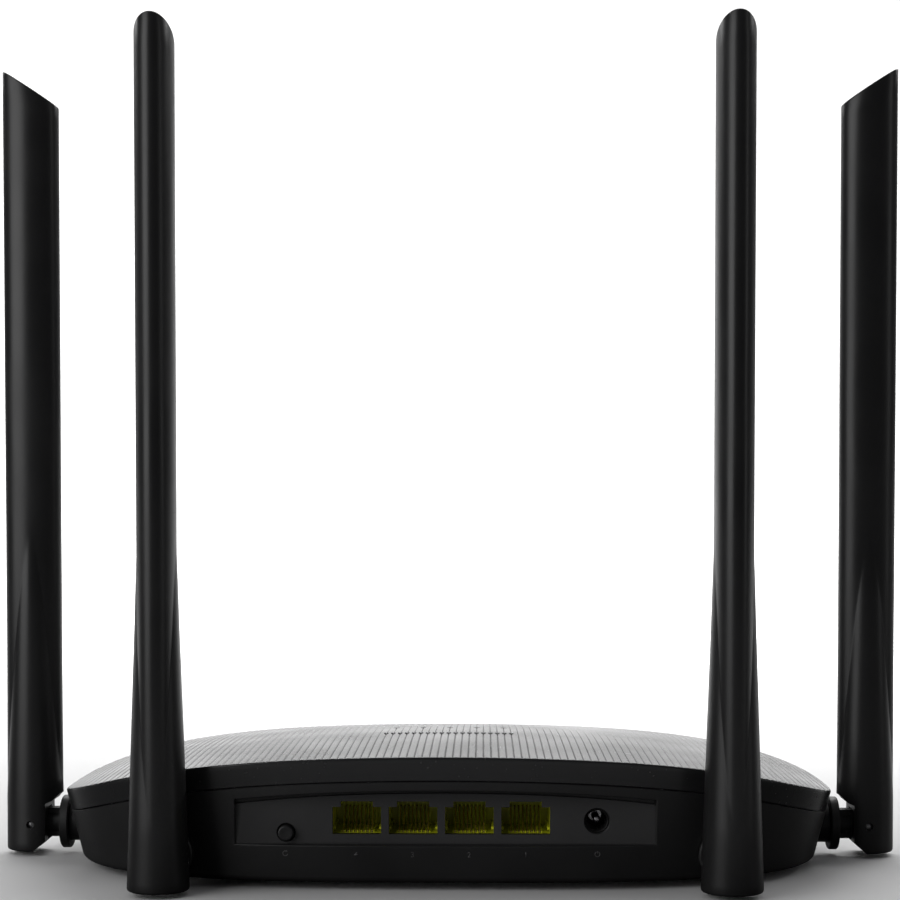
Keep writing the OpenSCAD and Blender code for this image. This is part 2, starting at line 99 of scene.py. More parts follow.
@dataclass
class Shell:
    """A polygon surface in millimetres: points, and faces as arrays of one corner count each."""

    points: np.ndarray
    faces: list[np.ndarray]

    def shifted(self, offset: Point) -> "Shell":
        """Returns the surface moved by offset."""
        return Shell(self.points + np.array(offset, float), self.faces)

    def flipped(self) -> "Shell":
        """Returns the surface with its faces turned the other way."""
        return Shell(self.points, [f[:, ::-1] for f in self.faces])

    def volume(self) -> float:
        """Returns the signed volume: a sixth of the sum of triple products over a fan of each face."""
        total = 0.0
        for f in self.faces:
            a = self.points[f[:, 0]]
            for k in range(1, f.shape[1] - 1):
                b = self.points[f[:, k]]
                c = self.points[f[:, k + 1]]
                total += float(np.einsum("ij,ij->i", a, np.cross(b, c)).sum())
        return total / 6

    def outward(self) -> "Shell":
        """Returns the closed surface with its faces pointing out."""
        return self if self.volume() > 0 else self.flipped()

    def inward(self) -> "Shell":
        """Returns the closed surface with its faces pointing in, as the wall of a cavity."""
        return self.outward().flipped()


def joined(*shells: Shell) -> Shell:
    """Puts several surfaces into one list of points and faces.

    Args:
        shells: the surfaces.
    Returns:
        One surface with the corner numbers of each moved past those before it.
    """
    starts = np.cumsum([0] + [len(s.points) for s in shells[:-1]])
    faces = [f + start for s, start in zip(shells, starts) for f in s.faces]
    return Shell(np.vstack([s.points for s in shells]), faces)


def grid_faces(rows: int, cols: int, wrap: bool = False) -> np.ndarray:
    """Lists the four-cornered cells of a grid whose points are numbered row by row.

    Args:
        rows: number of rows of points.
        cols: number of points in a row.
        wrap: whether the last column joins the first.
    Returns:
        An array of cells, four corner numbers each.
    """
    i, j = np.meshgrid(np.arange(rows - 1), np.arange(cols if wrap else cols - 1), indexing="ij")
    i, j = i.ravel(), j.ravel()
    k = (j + 1) % cols
    return np.stack([i * cols + j, i * cols + k, (i + 1) * cols + k, (i + 1) * cols + j], 1)


def grid(points: np.ndarray, wrap: bool = False) -> Shell:
    """Makes a surface of a rows x columns x 3 array of points."""
    rows, cols = points.shape[:2]
    return Shell(points.reshape(-1, 3), [grid_faces(rows, cols, wrap)])


def tube(rings: np.ndarray) -> Shell:
    """Makes a closed surface of a stack of rings, with a flat face over the first and the last.

    Args:
        rings: rows x points x 3 array, each row one closed ring.
    Returns:
        The closed surface, faces pointing out.
    """
    rows, cols = rings.shape[:2]
    ends = [np.arange(cols)[None, ::-1], (rows - 1) * cols + np.arange(cols)[None, :]]
    return Shell(rings.reshape(-1, 3), [grid_faces(rows, cols, True)] + ends).outward()


def closed_torus(rings: np.ndarray) -> Shell:
    """Makes a closed surface of rings whose last ring joins the first again."""
    looped = np.concatenate([rings, rings[:1]])
    return grid(looped, True).outward()


class Axis(Enum):
    """The direction in which a turned shape runs: which own coordinate becomes X, Y and Z."""

    ALONG_X = (2, 0, 1)
    ALONG_Y = (1, 2, 0)
    ALONG_Z = (0, 1, 2)


def placed(points: np.ndarray, axis: Axis, spot: Point) -> np.ndarray:
    """Turns points from their own frame, third coordinate along the axis, and moves them to spot.

    Args:
        points: array whose last dimension is (across, across, along).
        axis: the direction that "along" becomes.
        spot: where the own origin goes.
    Returns:
        The points in the router's frame.
    """
    return points[..., list(axis.value)] + np.array(spot, float)


def turned_rings(profile: list[tuple[float, float]], axis: Axis, spot: Point, sides: int) -> np.ndarray:
    """Turns a profile of (radius, distance) about an axis.

    Args:
        profile: corners of the profile from one end to the other, in millimetres.
        axis: direction of the turning axis.
        spot: the point of the axis where distance is 0.
        sides: points in a turn.
    Returns:
        The rings x = r cos t, y = r sin t, z = distance, one for each corner of the profile.
    """
    t = np.arange(sides) * TURN / sides
    r, d = np.array(profile, float).T
    rings = np.stack([r[:, None] * np.cos(t), r[:, None] * np.sin(t), d[:, None] + 0 * t], 2)
    return placed(rings, axis, spot)


def turned(profile: list[tuple[float, float]], axis: Axis, spot: Point, sides: int = 48) -> Shell:
    """Returns the surface of revolution of a profile, closed by end faces; radius 0 closes on a pole."""
    return tube(turned_rings(profile, axis, spot, sides))


def rounded(profile: list[tuple[float, float]], radius: float, steps: int = 4) -> list[tuple[float, float]]:
    """Rounds the inner corners of an open profile.

    Args:
        profile: corners of the profile.
        radius: how far from each corner the rounding starts, cut to half of a short side.
        steps: points on each rounding.
    Returns:
        The profile with each corner replaced by the quadratic curve between its two start points.
    """
    p = np.array(profile, float)
    out = [p[0]]
    for before, corner, after in zip(p[:-2], p[1:-1], p[2:]):
        legs = [before - corner, after - corner]
        reach = [min(radius, 0.5 * np.linalg.norm(v)) for v in legs]
        a, b = [corner + v / max(np.linalg.norm(v), 1e-9) * q for v, q in zip(legs, reach)]
        f = np.linspace(0, 1, steps)[:, None]
        out.extend((1 - f) ** 2 * a + 2 * f * (1 - f) * corner + f ** 2 * b)
    out.append(p[-1])
    return [tuple(v) for v in out]


def block(low: Point, high: Point, bevel: float = 0.0) -> Shell:
    """Makes a box between two corners with its upright edges and rims bevelled.

    Args:
        low: lowest corner.
        high: highest corner.
        bevel: width of the bevel on every edge.
    Returns:
        Rings of eight points, drawn in by the bevel at both ends.
    """
    (x0, y0, z0), (x1, y1, z1) = low, high
    b = bevel

    def ring(inset: float, z: float) -> np.ndarray:
        """Returns one eight-cornered ring drawn in by inset at height z."""
        a0, a1, b0, b1 = x0 + inset, x1 - inset, y0 + inset, y1 - inset
        plan = [(a0 + b, b0), (a1 - b, b0), (a1, b0 + b), (a1, b1 - b),
                (a1 - b, b1), (a0 + b, b1), (a0, b1 - b), (a0, b0 + b)]
        return np.array([(x, y, z) for x, y in plan])

    if b == 0.0:
        plan = [(x0, y0), (x1, y0), (x1, y1), (x0, y1)]
        return tube(np.array([[(x, y, z) for x, y in plan] for z in (z0, z1)]))
    return tube(np.stack([ring(b, z0), ring(0, z0 + b), ring(0, z1 - b), ring(b, z1)]))


def swept(path: np.ndarray, radius: float, sides: int = 10) -> Shell:
    """Carries a circle along a path that stays in one plane of constant X.

    Args:
        path: n x 3 points.
        radius: radius of the circle.
        sides: points round the circle.
    Returns:
        Rings of X plus radius times cos t, and radius times sin t along the path's normal in its plane.
    """
    tangent = np.gradient(path, axis=0)
    tangent /= np.linalg.norm(tangent, axis=1)[:, None]
    normal = np.stack([np.zeros(len(path)), -tangent[:, 2], tangent[:, 1]], 1)
    t = np.arange(sides) * TURN / sides
    across = np.array([1.0, 0, 0])
    rings = path[:, None] + radius * (np.cos(t)[None, :, None] * across + np.sin(t)[None, :, None] * normal[:, None])
    return tube(rings)


def smooth_step(x: np.ndarray) -> np.ndarray:
    """Returns 3x^2 - 2x^3 of x held between 0 and 1."""
    x = np.clip(x, 0, 1)
    return x * x * (3 - 2 * x)


# ---------- Blender objects ----------

def piece(name: str, shell: Shell, body: str, sharp_deg: float = 35) -> bpy.types.Object:
    """Makes a mesh object of a surface and lets it ride on a body.

    Args:
        name: the piece's name.
        shell: its surface in millimetres.
        body: the body it moves with.
        sharp_deg: edges that turn by more than this are drawn sharp.
    Returns:
        The object, at the origin, with its place in its mesh.
    """
    mesh = bpy.data.meshes.new(name)
    corners = [row for f in shell.faces for row in f.tolist()]
    mesh.from_pydata((shell.points * MM).tolist(), [], corners)
    edit = bmesh.new()
    edit.from_mesh(mesh)
    bmesh.ops.remove_doubles(edit, verts=edit.verts, dist=MERGE_MM * MM)
    bmesh.ops.dissolve_degenerate(edit, edges=edit.edges, dist=MERGE_MM * MM)
    edit.to_mesh(mesh)
    edit.free()
    soften(mesh, sharp_deg)
    obj = bpy.data.objects.new(name, mesh)
    bpy.context.scene.collection.objects.link(obj)
    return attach(obj, body)


def soften(mesh: bpy.types.Mesh, sharp_deg: float) -> None:
    """Smooths the shading of a mesh and marks the edges that turn by more than sharp_deg."""
    mesh.shade_smooth()
    mesh.set_sharp_from_angle(angle=math.radians(sharp_deg))


def combine(obj: bpy.types.Object, tool: Shell, how: str, sharp_deg: float = 35) -> None:
    """Cuts or adds a closed surface and keeps the result as the object's mesh.

    Args:
        obj: the object to change.
        tool: the closed surface, in millimetres.
        how: DIFFERENCE or UNION.
        sharp_deg: edges that turn by more than this are drawn sharp.
    """
    other = piece("tool", tool, obj["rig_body"])
    step = obj.modifiers.new("combine", "BOOLEAN")
    step.operation = how
    step.solver = "EXACT"
    step.use_self = True
    step.object = other
    bpy.context.view_layer.update()
    result = bpy.data.meshes.new_from_object(obj.evaluated_get(bpy.context.evaluated_depsgraph_get()))
    obj.modifiers.clear()
    old, obj.data = obj.data, result
    bpy.data.meshes.remove(old)
    bpy.data.objects.remove(other)
    soften(obj.data, sharp_deg)
    obj.data.name = obj.name


def twin(source: bpy.types.Object, name: str, body: str, turn: float, spot: np.ndarray) -> bpy.types.Object:
    """Copies an object's mesh, turned about Z and moved, into a new piece.

    Args:
        source: the object to copy, in its own frame.
        name: the new piece's name.
        body: the body the new piece moves with.
        turn: angle about Z in radians.
        spot: where the own origin goes, in millimetres.
    Returns:
        The new piece.
    """
    mesh = source.data.copy()
    mesh.name = name
    flat = np.zeros(len(mesh.vertices) * 3)
    mesh.vertices.foreach_get("co", flat)
    c, s = math.cos(turn), math.sin(turn)
    matrix = np.array([[c, -s, 0], [s, c, 0], [0, 0, 1]])
    moved = flat.reshape(-1, 3) @ matrix.T + np.array(spot) * MM
    mesh.vertices.foreach_set("co", moved.ravel())
    mesh.update()
    obj = bpy.data.objects.new(name, mesh)
    bpy.context.scene.collection.objects.link(obj)
    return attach(obj, body)


def drawn_sign(text: str, size: float) -> Shell:
    """Returns the filled outline of a numeral as a flat surface in X and Z, centred on its own middle.

    Args:
        text: the numeral.
        size: height of the characters in millimetres.
    Returns:
        The flat surface, facing -Y.
    """
    curve = bpy.data.curves.new("sign", "FONT")
    curve.body = text
    curve.size = size / MM_PER_EM
    curve.align_x = "CENTER"
    obj = bpy.data.objects.new("sign", curve)
    bpy.context.scene.collection.objects.link(obj)
    bpy.context.view_layer.update()
    mesh = bpy.data.meshes.new_from_object(obj)
    flat = np.zeros(len(mesh.vertices) * 3)
    mesh.vertices.foreach_get("co", flat)
    p = flat.reshape(-1, 3)
    faces = [np.array([list(f.vertices)]) for f in mesh.polygons]
    bpy.data.objects.remove(obj)
    bpy.data.curves.remove(curve)
    bpy.data.meshes.remove(mesh)
    return Shell(np.stack([p[:, 0], 0 * p[:, 0], p[:, 1] - size / 2], 1), faces)


# ---------- finishes ----------

class NodeBoard:
    """A small helper that places and joins nodes in one node tree."""

    def __init__(self, tree: bpy.types.NodeTree) -> None:
        """Starts on an empty tree."""
        self.tree = tree

    def add(self, kind: str, **settings: object) -> bpy.types.Node:
        """Adds a node of a kind and sets its properties.

        Args:
            kind: Blender's node type.
            settings: property names and values.
        Returns:
            The node.
        """
        node = self.tree.nodes.new(kind)
        for key, value in settings.items():
            setattr(node, key, value)
        return node

    def join(self, start: bpy.types.NodeSocket, end: bpy.types.NodeSocket) -> None:
        """Links an output to an input."""
        self.tree.links.new(start, end)

    def noise(self, vector: bpy.types.NodeSocket, scale: float, detail: float = 2.0) -> bpy.types.NodeSocket:
        """Adds a noise of a fixed scale.

        Args:
            vector: coordinates in metres.
            scale: noise cells in a metre.
            detail: number of finer layers.
        Returns:
            The noise's value output.
        """
        node = self.add("ShaderNodeTexNoise")
        node.inputs["Scale"].default_value = scale
        node.inputs["Detail"].default_value = detail
        self.join(vector, node.inputs["Vector"])
        return node.outputs["Fac"]

    def spread(self, value: bpy.types.NodeSocket, low: float, high: float, low_out: float = 0.0,
               high_out: float = 1.0) -> bpy.types.NodeSocket:
        """Maps a value from low..high to low_out..high_out, held at both ends.

        Args:
            value: the value to map.
            low: start of the range read.
            high: end of the range read.
            low_out: result at low.
            high_out: result at high.
        Returns:
            The mapped value.
        """
        node = self.add("ShaderNodeMapRange", clamp=True)
        for slot_name, number in zip(("From Min", "From Max", "To Min", "To Max"), (low, high, low_out, high_out)):
            node.inputs[slot_name].default_value = number
        self.join(value, node.inputs["Value"])
        return node.outputs["Result"]

    def maths(self, how: str, a: object, b: object = 0.0) -> bpy.types.NodeSocket:
        """Adds one operation on two values, each a number or an output.

        Args:
            how: Blender's name of the operation.
            a: first value.
            b: second value.
        Returns:
            The result.
        """
        node = self.add("ShaderNodeMath", operation=how)
        for number, value in enumerate((a, b)):
            if isinstance(value, bpy.types.NodeSocket):
                self.join(value, node.inputs[number])
            else:
                node.inputs[number].default_value = value
        return node.outputs[0]

    def blend(self, share: bpy.types.NodeSocket, a: object, b: object) -> bpy.types.NodeSocket:
        """Mixes two colours by a share.

        Args:
            share: 0 for the first, 1 for the second.
            a: first colour, three numbers or an output.
            b: second colour, three numbers or an output.
        Returns:
            The mixed colour.
        """
        node = self.add("ShaderNodeMix", data_type="RGBA")
        self.join(share, node.inputs["Factor"])
        for name, value in (("A", a), ("B", b)):
            socket = next(s for s in node.inputs if s.name == name and s.type == "RGBA")
            if isinstance(value, bpy.types.NodeSocket):
                self.join(value, socket)
            else:
                socket.default_value = (*value, 1.0)
        return next(s for s in node.outputs if s.type == "RGBA")


def new_group(name: str, inputs: dict[str, object], outputs: dict[str, str]) -> tuple[NodeBoard, dict, dict]:
    """Starts a shader node group with named inputs and outputs.

    Args:
        name: the group's name.
        inputs: input names with their usual values; three numbers make a colour.
        outputs: output names with "colour" or "value".
    Returns:
        The board, the group's input outputs by name and its output inputs by name.
    """
    tree = bpy.data.node_groups.new(name, "ShaderNodeTree")
    for key, value in inputs.items():
        kind = "NodeSocketColor" if isinstance(value, tuple) else "NodeSocketFloat"
        socket = tree.interface.new_socket(key, in_out="INPUT", socket_type=kind)
        socket.default_value = (*value, 1.0) if isinstance(value, tuple) else value
    for key, kind in outputs.items():
        socket_kind = "NodeSocketColor" if kind == "colour" else "NodeSocketFloat"
        tree.interface.new_socket(key, in_out="OUTPUT", socket_type=socket_kind)
    board = NodeBoard(tree)
    start = board.add("NodeGroupInput")
    end = board.add("NodeGroupOutput")
    return board, {s.name: s for s in start.outputs if s.name}, {s.name: s for s in end.inputs if s.name}


def moulded_group() -> bpy.types.NodeTree:
    """Builds the moulded surface group once.

    Its formula: a fine noise is the grain; a broad noise moves the colour and the roughness a
    little to either side, as handling and mould flow do; sparse stretched noise adds faint
    scratches to the roughness; dust lies on upward faces in a broken film.

    Returns:
        The group.
    """
    known = bpy.data.node_groups.get("moulded_surface")
    if known:
        return known
    board, given, made = new_group(
        "moulded_surface",
        {"Colour": (0.02, 0.02, 0.02), "Dust colour": (0.3, 0.29, 0.27), "Grain scale": 2500.0,
         "Colour spread": 0.15, "Roughness": 0.4, "Roughness spread": 0.08, "Dust": 0.03},
        {"Colour": "colour", "Roughness": "value", "Height": "value"})
    place = board.add("ShaderNodeTexCoord").outputs["Object"]
    grain = board.add("ShaderNodeTexNoise")
    grain.inputs["Detail"].default_value = 3.0
    board.join(place, grain.inputs["Vector"])
    board.join(given["Grain scale"], grain.inputs["Scale"])
    cloud = board.spread(board.noise(place, 38.0, 4.0), 0.3, 0.7, -1.0, 1.0)
    stretch = board.add("ShaderNodeMapping")
    stretch.inputs["Scale"].default_value = (1.0, 0.06, 1.0)
    stretch.inputs["Rotation"].default_value = (0.3, 0.5, 0.7)
    board.join(place, stretch.inputs["Vector"])
    scratch = board.spread(board.noise(stretch.outputs["Vector"], 900.0, 1.0), 0.70, 0.76)
    shade = board.maths("MULTIPLY_ADD", cloud, given["Colour spread"])
    shade.node.inputs[2].default_value = 1.0
    tone = board.add("ShaderNodeVectorMath", operation="SCALE")
    board.join(given["Colour"], tone.inputs[0])
    board.join(shade, tone.inputs["Scale"])
    normal = board.add("ShaderNodeNewGeometry").outputs["Normal"]
    split = board.add("ShaderNodeSeparateXYZ")
    board.join(normal, split.inputs[0])
    up = board.spread(split.outputs["Z"], 0.55, 0.98)
    specks = board.spread(board.noise(place, 420.0, 5.0), 0.42, 0.72)
    film = board.maths("MULTIPLY", board.maths("MULTIPLY", up, specks), given["Dust"])
    board.join(board.blend(film, tone.outputs["Vector"], given["Dust colour"]), made["Colour"])
    rough = board.maths("MULTIPLY_ADD", cloud, given["Roughness spread"])
    board.join(given["Roughness"], rough.node.inputs[2])
    rubbed = board.maths("MULTIPLY_ADD", scratch, 0.06)
    board.join(rough, rubbed.node.inputs[2])
    board.join(board.maths("ADD", rubbed, film), made["Roughness"])
    board.join(grain.outputs["Fac"], made["Height"])
    return board.tree


def drawn_metal_group() -> bpy.types.NodeTree:
    """Builds the drawn or rolled metal group once.

    Its formula: noise stretched along one direction gives the drawing lines, and a broad noise
    gives patches of tarnish that darken the colour and raise the roughness.

    Returns:
        The group.
    """
    known = bpy.data.node_groups.get("drawn_metal")
    if known:
        return known
    board, given, made = new_group(
        "drawn_metal",
        {"Colour": (0.6, 0.6, 0.6), "Tarnish colour": (0.3, 0.27, 0.22), "Roughness": 0.3, "Tarnish": 0.25},
        {"Colour": "colour", "Roughness": "value", "Height": "value"})
    place = board.add("ShaderNodeTexCoord").outputs["Object"]
    stretch = board.add("ShaderNodeMapping")
    stretch.inputs["Scale"].default_value = (1.0, 0.05, 1.0)
    board.join(place, stretch.inputs["Vector"])
    lines = board.noise(stretch.outputs["Vector"], 2600.0, 2.0)
    patches = board.spread(board.noise(place, 160.0, 4.0), 0.45, 0.75)
    share = board.maths("MULTIPLY", patches, given["Tarnish"])
    board.join(board.blend(share, given["Colour"], given["Tarnish colour"]), made["Colour"])
    rough = board.maths("MULTIPLY_ADD", lines, 0.12)
    board.join(given["Roughness"], rough.node.inputs[2])
    board.join(board.maths("ADD", rough, share), made["Roughness"])
    board.join(lines, made["Height"])
    return board.tree


def new_material(name: str) -> tuple[bpy.types.Material, NodeBoard, bpy.types.Node]:
    """Makes an empty node material.

    Args:
        name: its name.
    Returns:
        The material, its board and its Principled node.
    """
    material = bpy.data.materials.new(name)
    material.use_nodes = True
    board = NodeBoard(material.node_tree)
    return material, board, material.node_tree.nodes["Principled BSDF"]


def relief(board: NodeBoard, shader: bpy.types.Node, height: bpy.types.NodeSocket, depth_mm: float) -> None:
    """Adds a bump of a depth in millimetres to a shader.

    Args:
        board: the material's board.
        shader: its Principled node.
        height: a value from 0 to 1.
        depth_mm: what 1 is worth.
    """
    bump = board.add("ShaderNodeBump")
    bump.inputs["Strength"].default_value = 1.0
    bump.inputs["Distance"].default_value = depth_mm * MM
    board.join(height, bump.inputs["Height"])
    board.join(bump.outputs["Normal"], shader.inputs["Normal"])


def use_group(board: NodeBoard, shader: bpy.types.Node, group: bpy.types.NodeTree,
              values: dict[str, object], depth_mm: float) -> None:
    """Adds a surface group and joins its colour, roughness and relief to a shader.

    Args:
        board: the material's board.
        shader: its Principled node.
        group: the group.
        values: the group's input values by name; three numbers make a colour.
        depth_mm: depth of the relief.
    """
    body = board.add("ShaderNodeGroup", node_tree=group)
    for key, value in values.items():
        body.inputs[key].default_value = (*value, 1.0) if isinstance(value, tuple) else value
    board.join(body.outputs["Colour"], shader.inputs["Base Color"])
    board.join(body.outputs["Roughness"], shader.inputs["Roughness"])
    relief(board, shader, body.outputs["Height"], depth_mm)


@dataclass(frozen=True)
class Paint:
    """A named material for one slot of the record; each kind lays its own nodes."""

    name: str
    slot: str

    def material(self) -> bpy.types.Material:
        """Returns the material, built once."""
        known = bpy.data.materials.get(self.name)
        if known:
            return known
        material, board, shader = new_material(self.name)
        self.lay(board, shader)
        return material

    def lay(self, board: NodeBoard, shader: bpy.types.Node) -> None:
        """Lays the nodes of this kind of material."""
        raise NotImplementedError(self.name)


@dataclass(frozen=True)
class Moulded(Paint):
    """A moulded plastic, rubber or resin."""

    colour: Point
    roughness: float = 0.4
    spread: float = 0.06
    grain_scale: float = 2500.0
    grain_mm: float = 0.006
    dust: float = 0.02
    specular: float = 0.5
    coat: float = 0.0
    glow: float = 0.0

    def lay(self, board: NodeBoard, shader: bpy.types.Node) -> None:
        """Lays the moulded surface group under a shader with this finish's coat and glow."""
        values = {"Colour": self.colour, "Roughness": self.roughness, "Roughness spread": self.spread,
                  "Grain scale": self.grain_scale, "Dust": self.dust}
        use_group(board, shader, moulded_group(), values, self.grain_mm)
        shader.inputs["Specular IOR Level"].default_value = self.specular
        shader.inputs["Coat Weight"].default_value = self.coat
        shader.inputs["Coat Roughness"].default_value = 0.15
        shader.inputs["Subsurface Weight"].default_value = self.glow
        shader.inputs["Subsurface Scale"].default_value = 0.0015


@dataclass(frozen=True)
class Metal(Paint):
    """A plated, drawn or rolled metal."""

    colour: Point
    tarnish_colour: Point = (0.3, 0.27, 0.22)
    roughness: float = 0.25
    tarnish: float = 0.2
    line_mm: float = 0.002

    def lay(self, board: NodeBoard, shader: bpy.types.Node) -> None:
        """Lays the drawn metal group under a metallic shader."""
        values = {"Colour": self.colour, "Tarnish colour": self.tarnish_colour, "Roughness": self.roughness,
                  "Tarnish": self.tarnish}
        use_group(board, shader, drawn_metal_group(), values, self.line_mm)
        shader.inputs["Metallic"].default_value = 1.0


@dataclass(frozen=True)
class Laminate(Paint):
    """Solder mask over copper tracks: green film, lighter over the copper, with tinned pads."""

    mask: Point = (0.012, 0.085, 0.035)
    over_copper: Point = (0.03, 0.17, 0.07)
    pad: Point = (0.62, 0.6, 0.55)

    def lay(self, board: NodeBoard, shader: bpy.types.Node) -> None:
        """Lays the nodes: brick rows stand for tracks, and a fine Voronoi gives the pads."""
        place = board.add("ShaderNodeTexCoord").outputs["Object"]
        tracks = board.add("ShaderNodeTexBrick")
        for key, number in (("Scale", 260.0), ("Mortar Size", 0.13), ("Bias", -0.2), ("Brick Width", 3.1),
                            ("Row Height", 0.32)):
            tracks.inputs[key].default_value = number
        board.join(place, tracks.inputs["Vector"])
        cells = board.add("ShaderNodeTexVoronoi")
        cells.inputs["Scale"].default_value = 330.0
        board.join(place, cells.inputs["Vector"])
        spots = board.spread(cells.outputs["Distance"], 0.16, 0.13)
        film = board.blend(board.maths("SUBTRACT", 1.0, tracks.outputs["Fac"]), self.mask, self.over_copper)
        board.join(board.blend(spots, film, self.pad), shader.inputs["Base Color"])
        board.join(board.spread(board.noise(place, 90.0, 3.0), 0.3, 0.7, 0.22, 0.36), shader.inputs["Roughness"])
        board.join(board.maths("MULTIPLY", spots, 0.9), shader.inputs["Metallic"])
        height = board.maths("ADD", board.maths("SUBTRACT", 1.0, tracks.outputs["Fac"]), spots)
        relief(board, shader, height, 0.03)


@dataclass(frozen=True)
class ClearPlastic(Paint):
    """Clear moulded acrylic with faint flow lines."""

    def lay(self, board: NodeBoard, shader: bpy.types.Node) -> None:
        """Lays a transmitting shader with uneven roughness and a soft relief."""
        place = board.add("ShaderNodeTexCoord").outputs["Object"]
        flow = board.noise(place, 300.0, 3.0)
        board.join(board.spread(flow, 0.3, 0.7, 0.08, 0.22), shader.inputs["Roughness"])
        board.join(board.blend(flow, (0.86, 0.9, 0.92), (0.95, 0.97, 0.97)), shader.inputs["Base Color"])
        shader.inputs["Transmission Weight"].default_value = 0.85
        shader.inputs["IOR"].default_value = 1.49
        relief(board, shader, flow, 0.01)


@dataclass(frozen=True)
class BlankFilm(Paint):
    """Silver film with fine fibres; it carries no lettering."""

    colour: Point
    ink: Point

    def lay(self, board: NodeBoard, shader: bpy.types.Node) -> None:
        """Lays a broad and a fine noise on the film's colour and roughness."""
        place = board.add("ShaderNodeTexCoord").outputs["Object"]
        fibre = board.noise(place, 1800.0, 3.0)
        patch = board.noise(place, 60.0, 3.0)
        share = board.maths("MULTIPLY", board.maths("ADD", fibre, patch), 0.5)
        board.join(board.blend(board.spread(share, 0.3, 0.7), self.colour, self.ink), shader.inputs["Base Color"])
        board.join(board.spread(patch, 0.3, 0.7, 0.32, 0.5), shader.inputs["Roughness"])
        relief(board, shader, fibre, 0.004)


class Finish(Enum):
    """Every finish of the router, by what it is used for."""

    CASE = Moulded("satin_black_case", "case_plastic", (0.018, 0.018, 0.0185), 0.42, 0.05, 2600.0, 0.007, 0.012)
    LID = Moulded("ribbed_black_lid", "lid_plastic", (0.02, 0.02, 0.021), 0.24, 0.04, 2200.0, 0.003, 0.005)
    # Painted light: the sunk panel's paler colour stands in for the lit floor that it reflects.
    PANEL = Moulded("panel_painted_lighter", "case_plastic", (0.045, 0.045, 0.046), 0.44, 0.05, 3200.0, 0.008, 0.0)
    PANEL_PRINT = Moulded("grey_print", "case_plastic", (0.11, 0.11, 0.112), 0.55, 0.05, 3000.0, 0.004, 0.0)
    RUBBER = Moulded("black_rubber", "foot_rubber", (0.022, 0.022, 0.022), 0.78, 0.08, 1500.0, 0.02, 0.08, 0.3)
    ANTENNA = Moulded("satin_black_antenna", "antenna_plastic", (0.014, 0.014, 0.0145), 0.34, 0.04, 2600.0, 0.004,
                      0.01)
    HINGE = Moulded("black_nylon", "hinge_plastic", (0.014, 0.014, 0.014), 0.48, 0.06, 2000.0, 0.008, 0.02)
    SOCKET = Moulded("yellow_green_plastic", "socket_plastic", (0.62, 0.64, 0.02), 0.38, 0.06, 1600.0, 0.006, 0.0)
    BLACK = Moulded("matt_black_plastic", "connector_black", (0.01, 0.01, 0.01), 0.5, 0.07, 1800.0, 0.008, 0.02)
    RESIN = Moulded("chip_resin", "chip_resin", (0.028, 0.028, 0.03), 0.62, 0.06, 3200.0, 0.01, 0.01)
    PAD = Moulded("soft_pad", "pad_silicone", (0.3, 0.33, 0.42), 0.7, 0.06, 1200.0, 0.03, 0.0)
    CAN = Moulded("shrunk_sleeve", "capacitor_sleeve", (0.02, 0.024, 0.07), 0.28, 0.05, 900.0, 0.01, 0.01, 0.5, 0.4)
    FERRITE = Moulded("ferrite", "ferrite", (0.08, 0.08, 0.085), 0.6, 0.1, 1400.0, 0.03, 0.02)
    LAMP = Moulded("lamp_resin", "lamp_resin", (0.72, 0.71, 0.62), 0.3, 0.05, 900.0, 0.004, 0.0, 0.5, 0.0, 0.3)
    JACKET = Moulded("lead_jacket", "lead_jacket", (0.02, 0.02, 0.02), 0.36, 0.05, 1500.0, 0.006, 0.0)
    STEEL = Metal("zinc_plated_steel", "steel", (0.52, 0.52, 0.53), (0.3, 0.29, 0.25), 0.28, 0.25)
    TIN = Metal("tin_plate", "bright_metal", (0.74, 0.74, 0.75), (0.42, 0.41, 0.38), 0.2, 0.2)
    GOLD = Metal("gold_plate", "contact_gold", (0.86, 0.72, 0.38), (0.5, 0.36, 0.16), 0.24, 0.2)
    ALUMINIUM = Metal("extruded_aluminium", "aluminium", (0.66, 0.67, 0.68), (0.42, 0.42, 0.42), 0.34, 0.15, 0.006)
    BOARD = Laminate("green_laminate", "board_laminate")
    CLEAR = ClearPlastic("clear_acrylic", "clear_acrylic")
    FILM = BlankFilm("silver_film", "label_paper", (0.52, 0.52, 0.51), (0.6, 0.6, 0.59))

    def coat(self, obj: bpy.types.Object) -> bpy.types.Object:
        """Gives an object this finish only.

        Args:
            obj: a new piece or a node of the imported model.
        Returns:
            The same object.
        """
        material = self.value.material()
        if obj.data.materials:
            for number in range(len(obj.data.materials)):
                obj.data.materials[number] = material
        else:
            obj.data.materials.append(material)
        return obj


# ---------- the shape of the case ----------

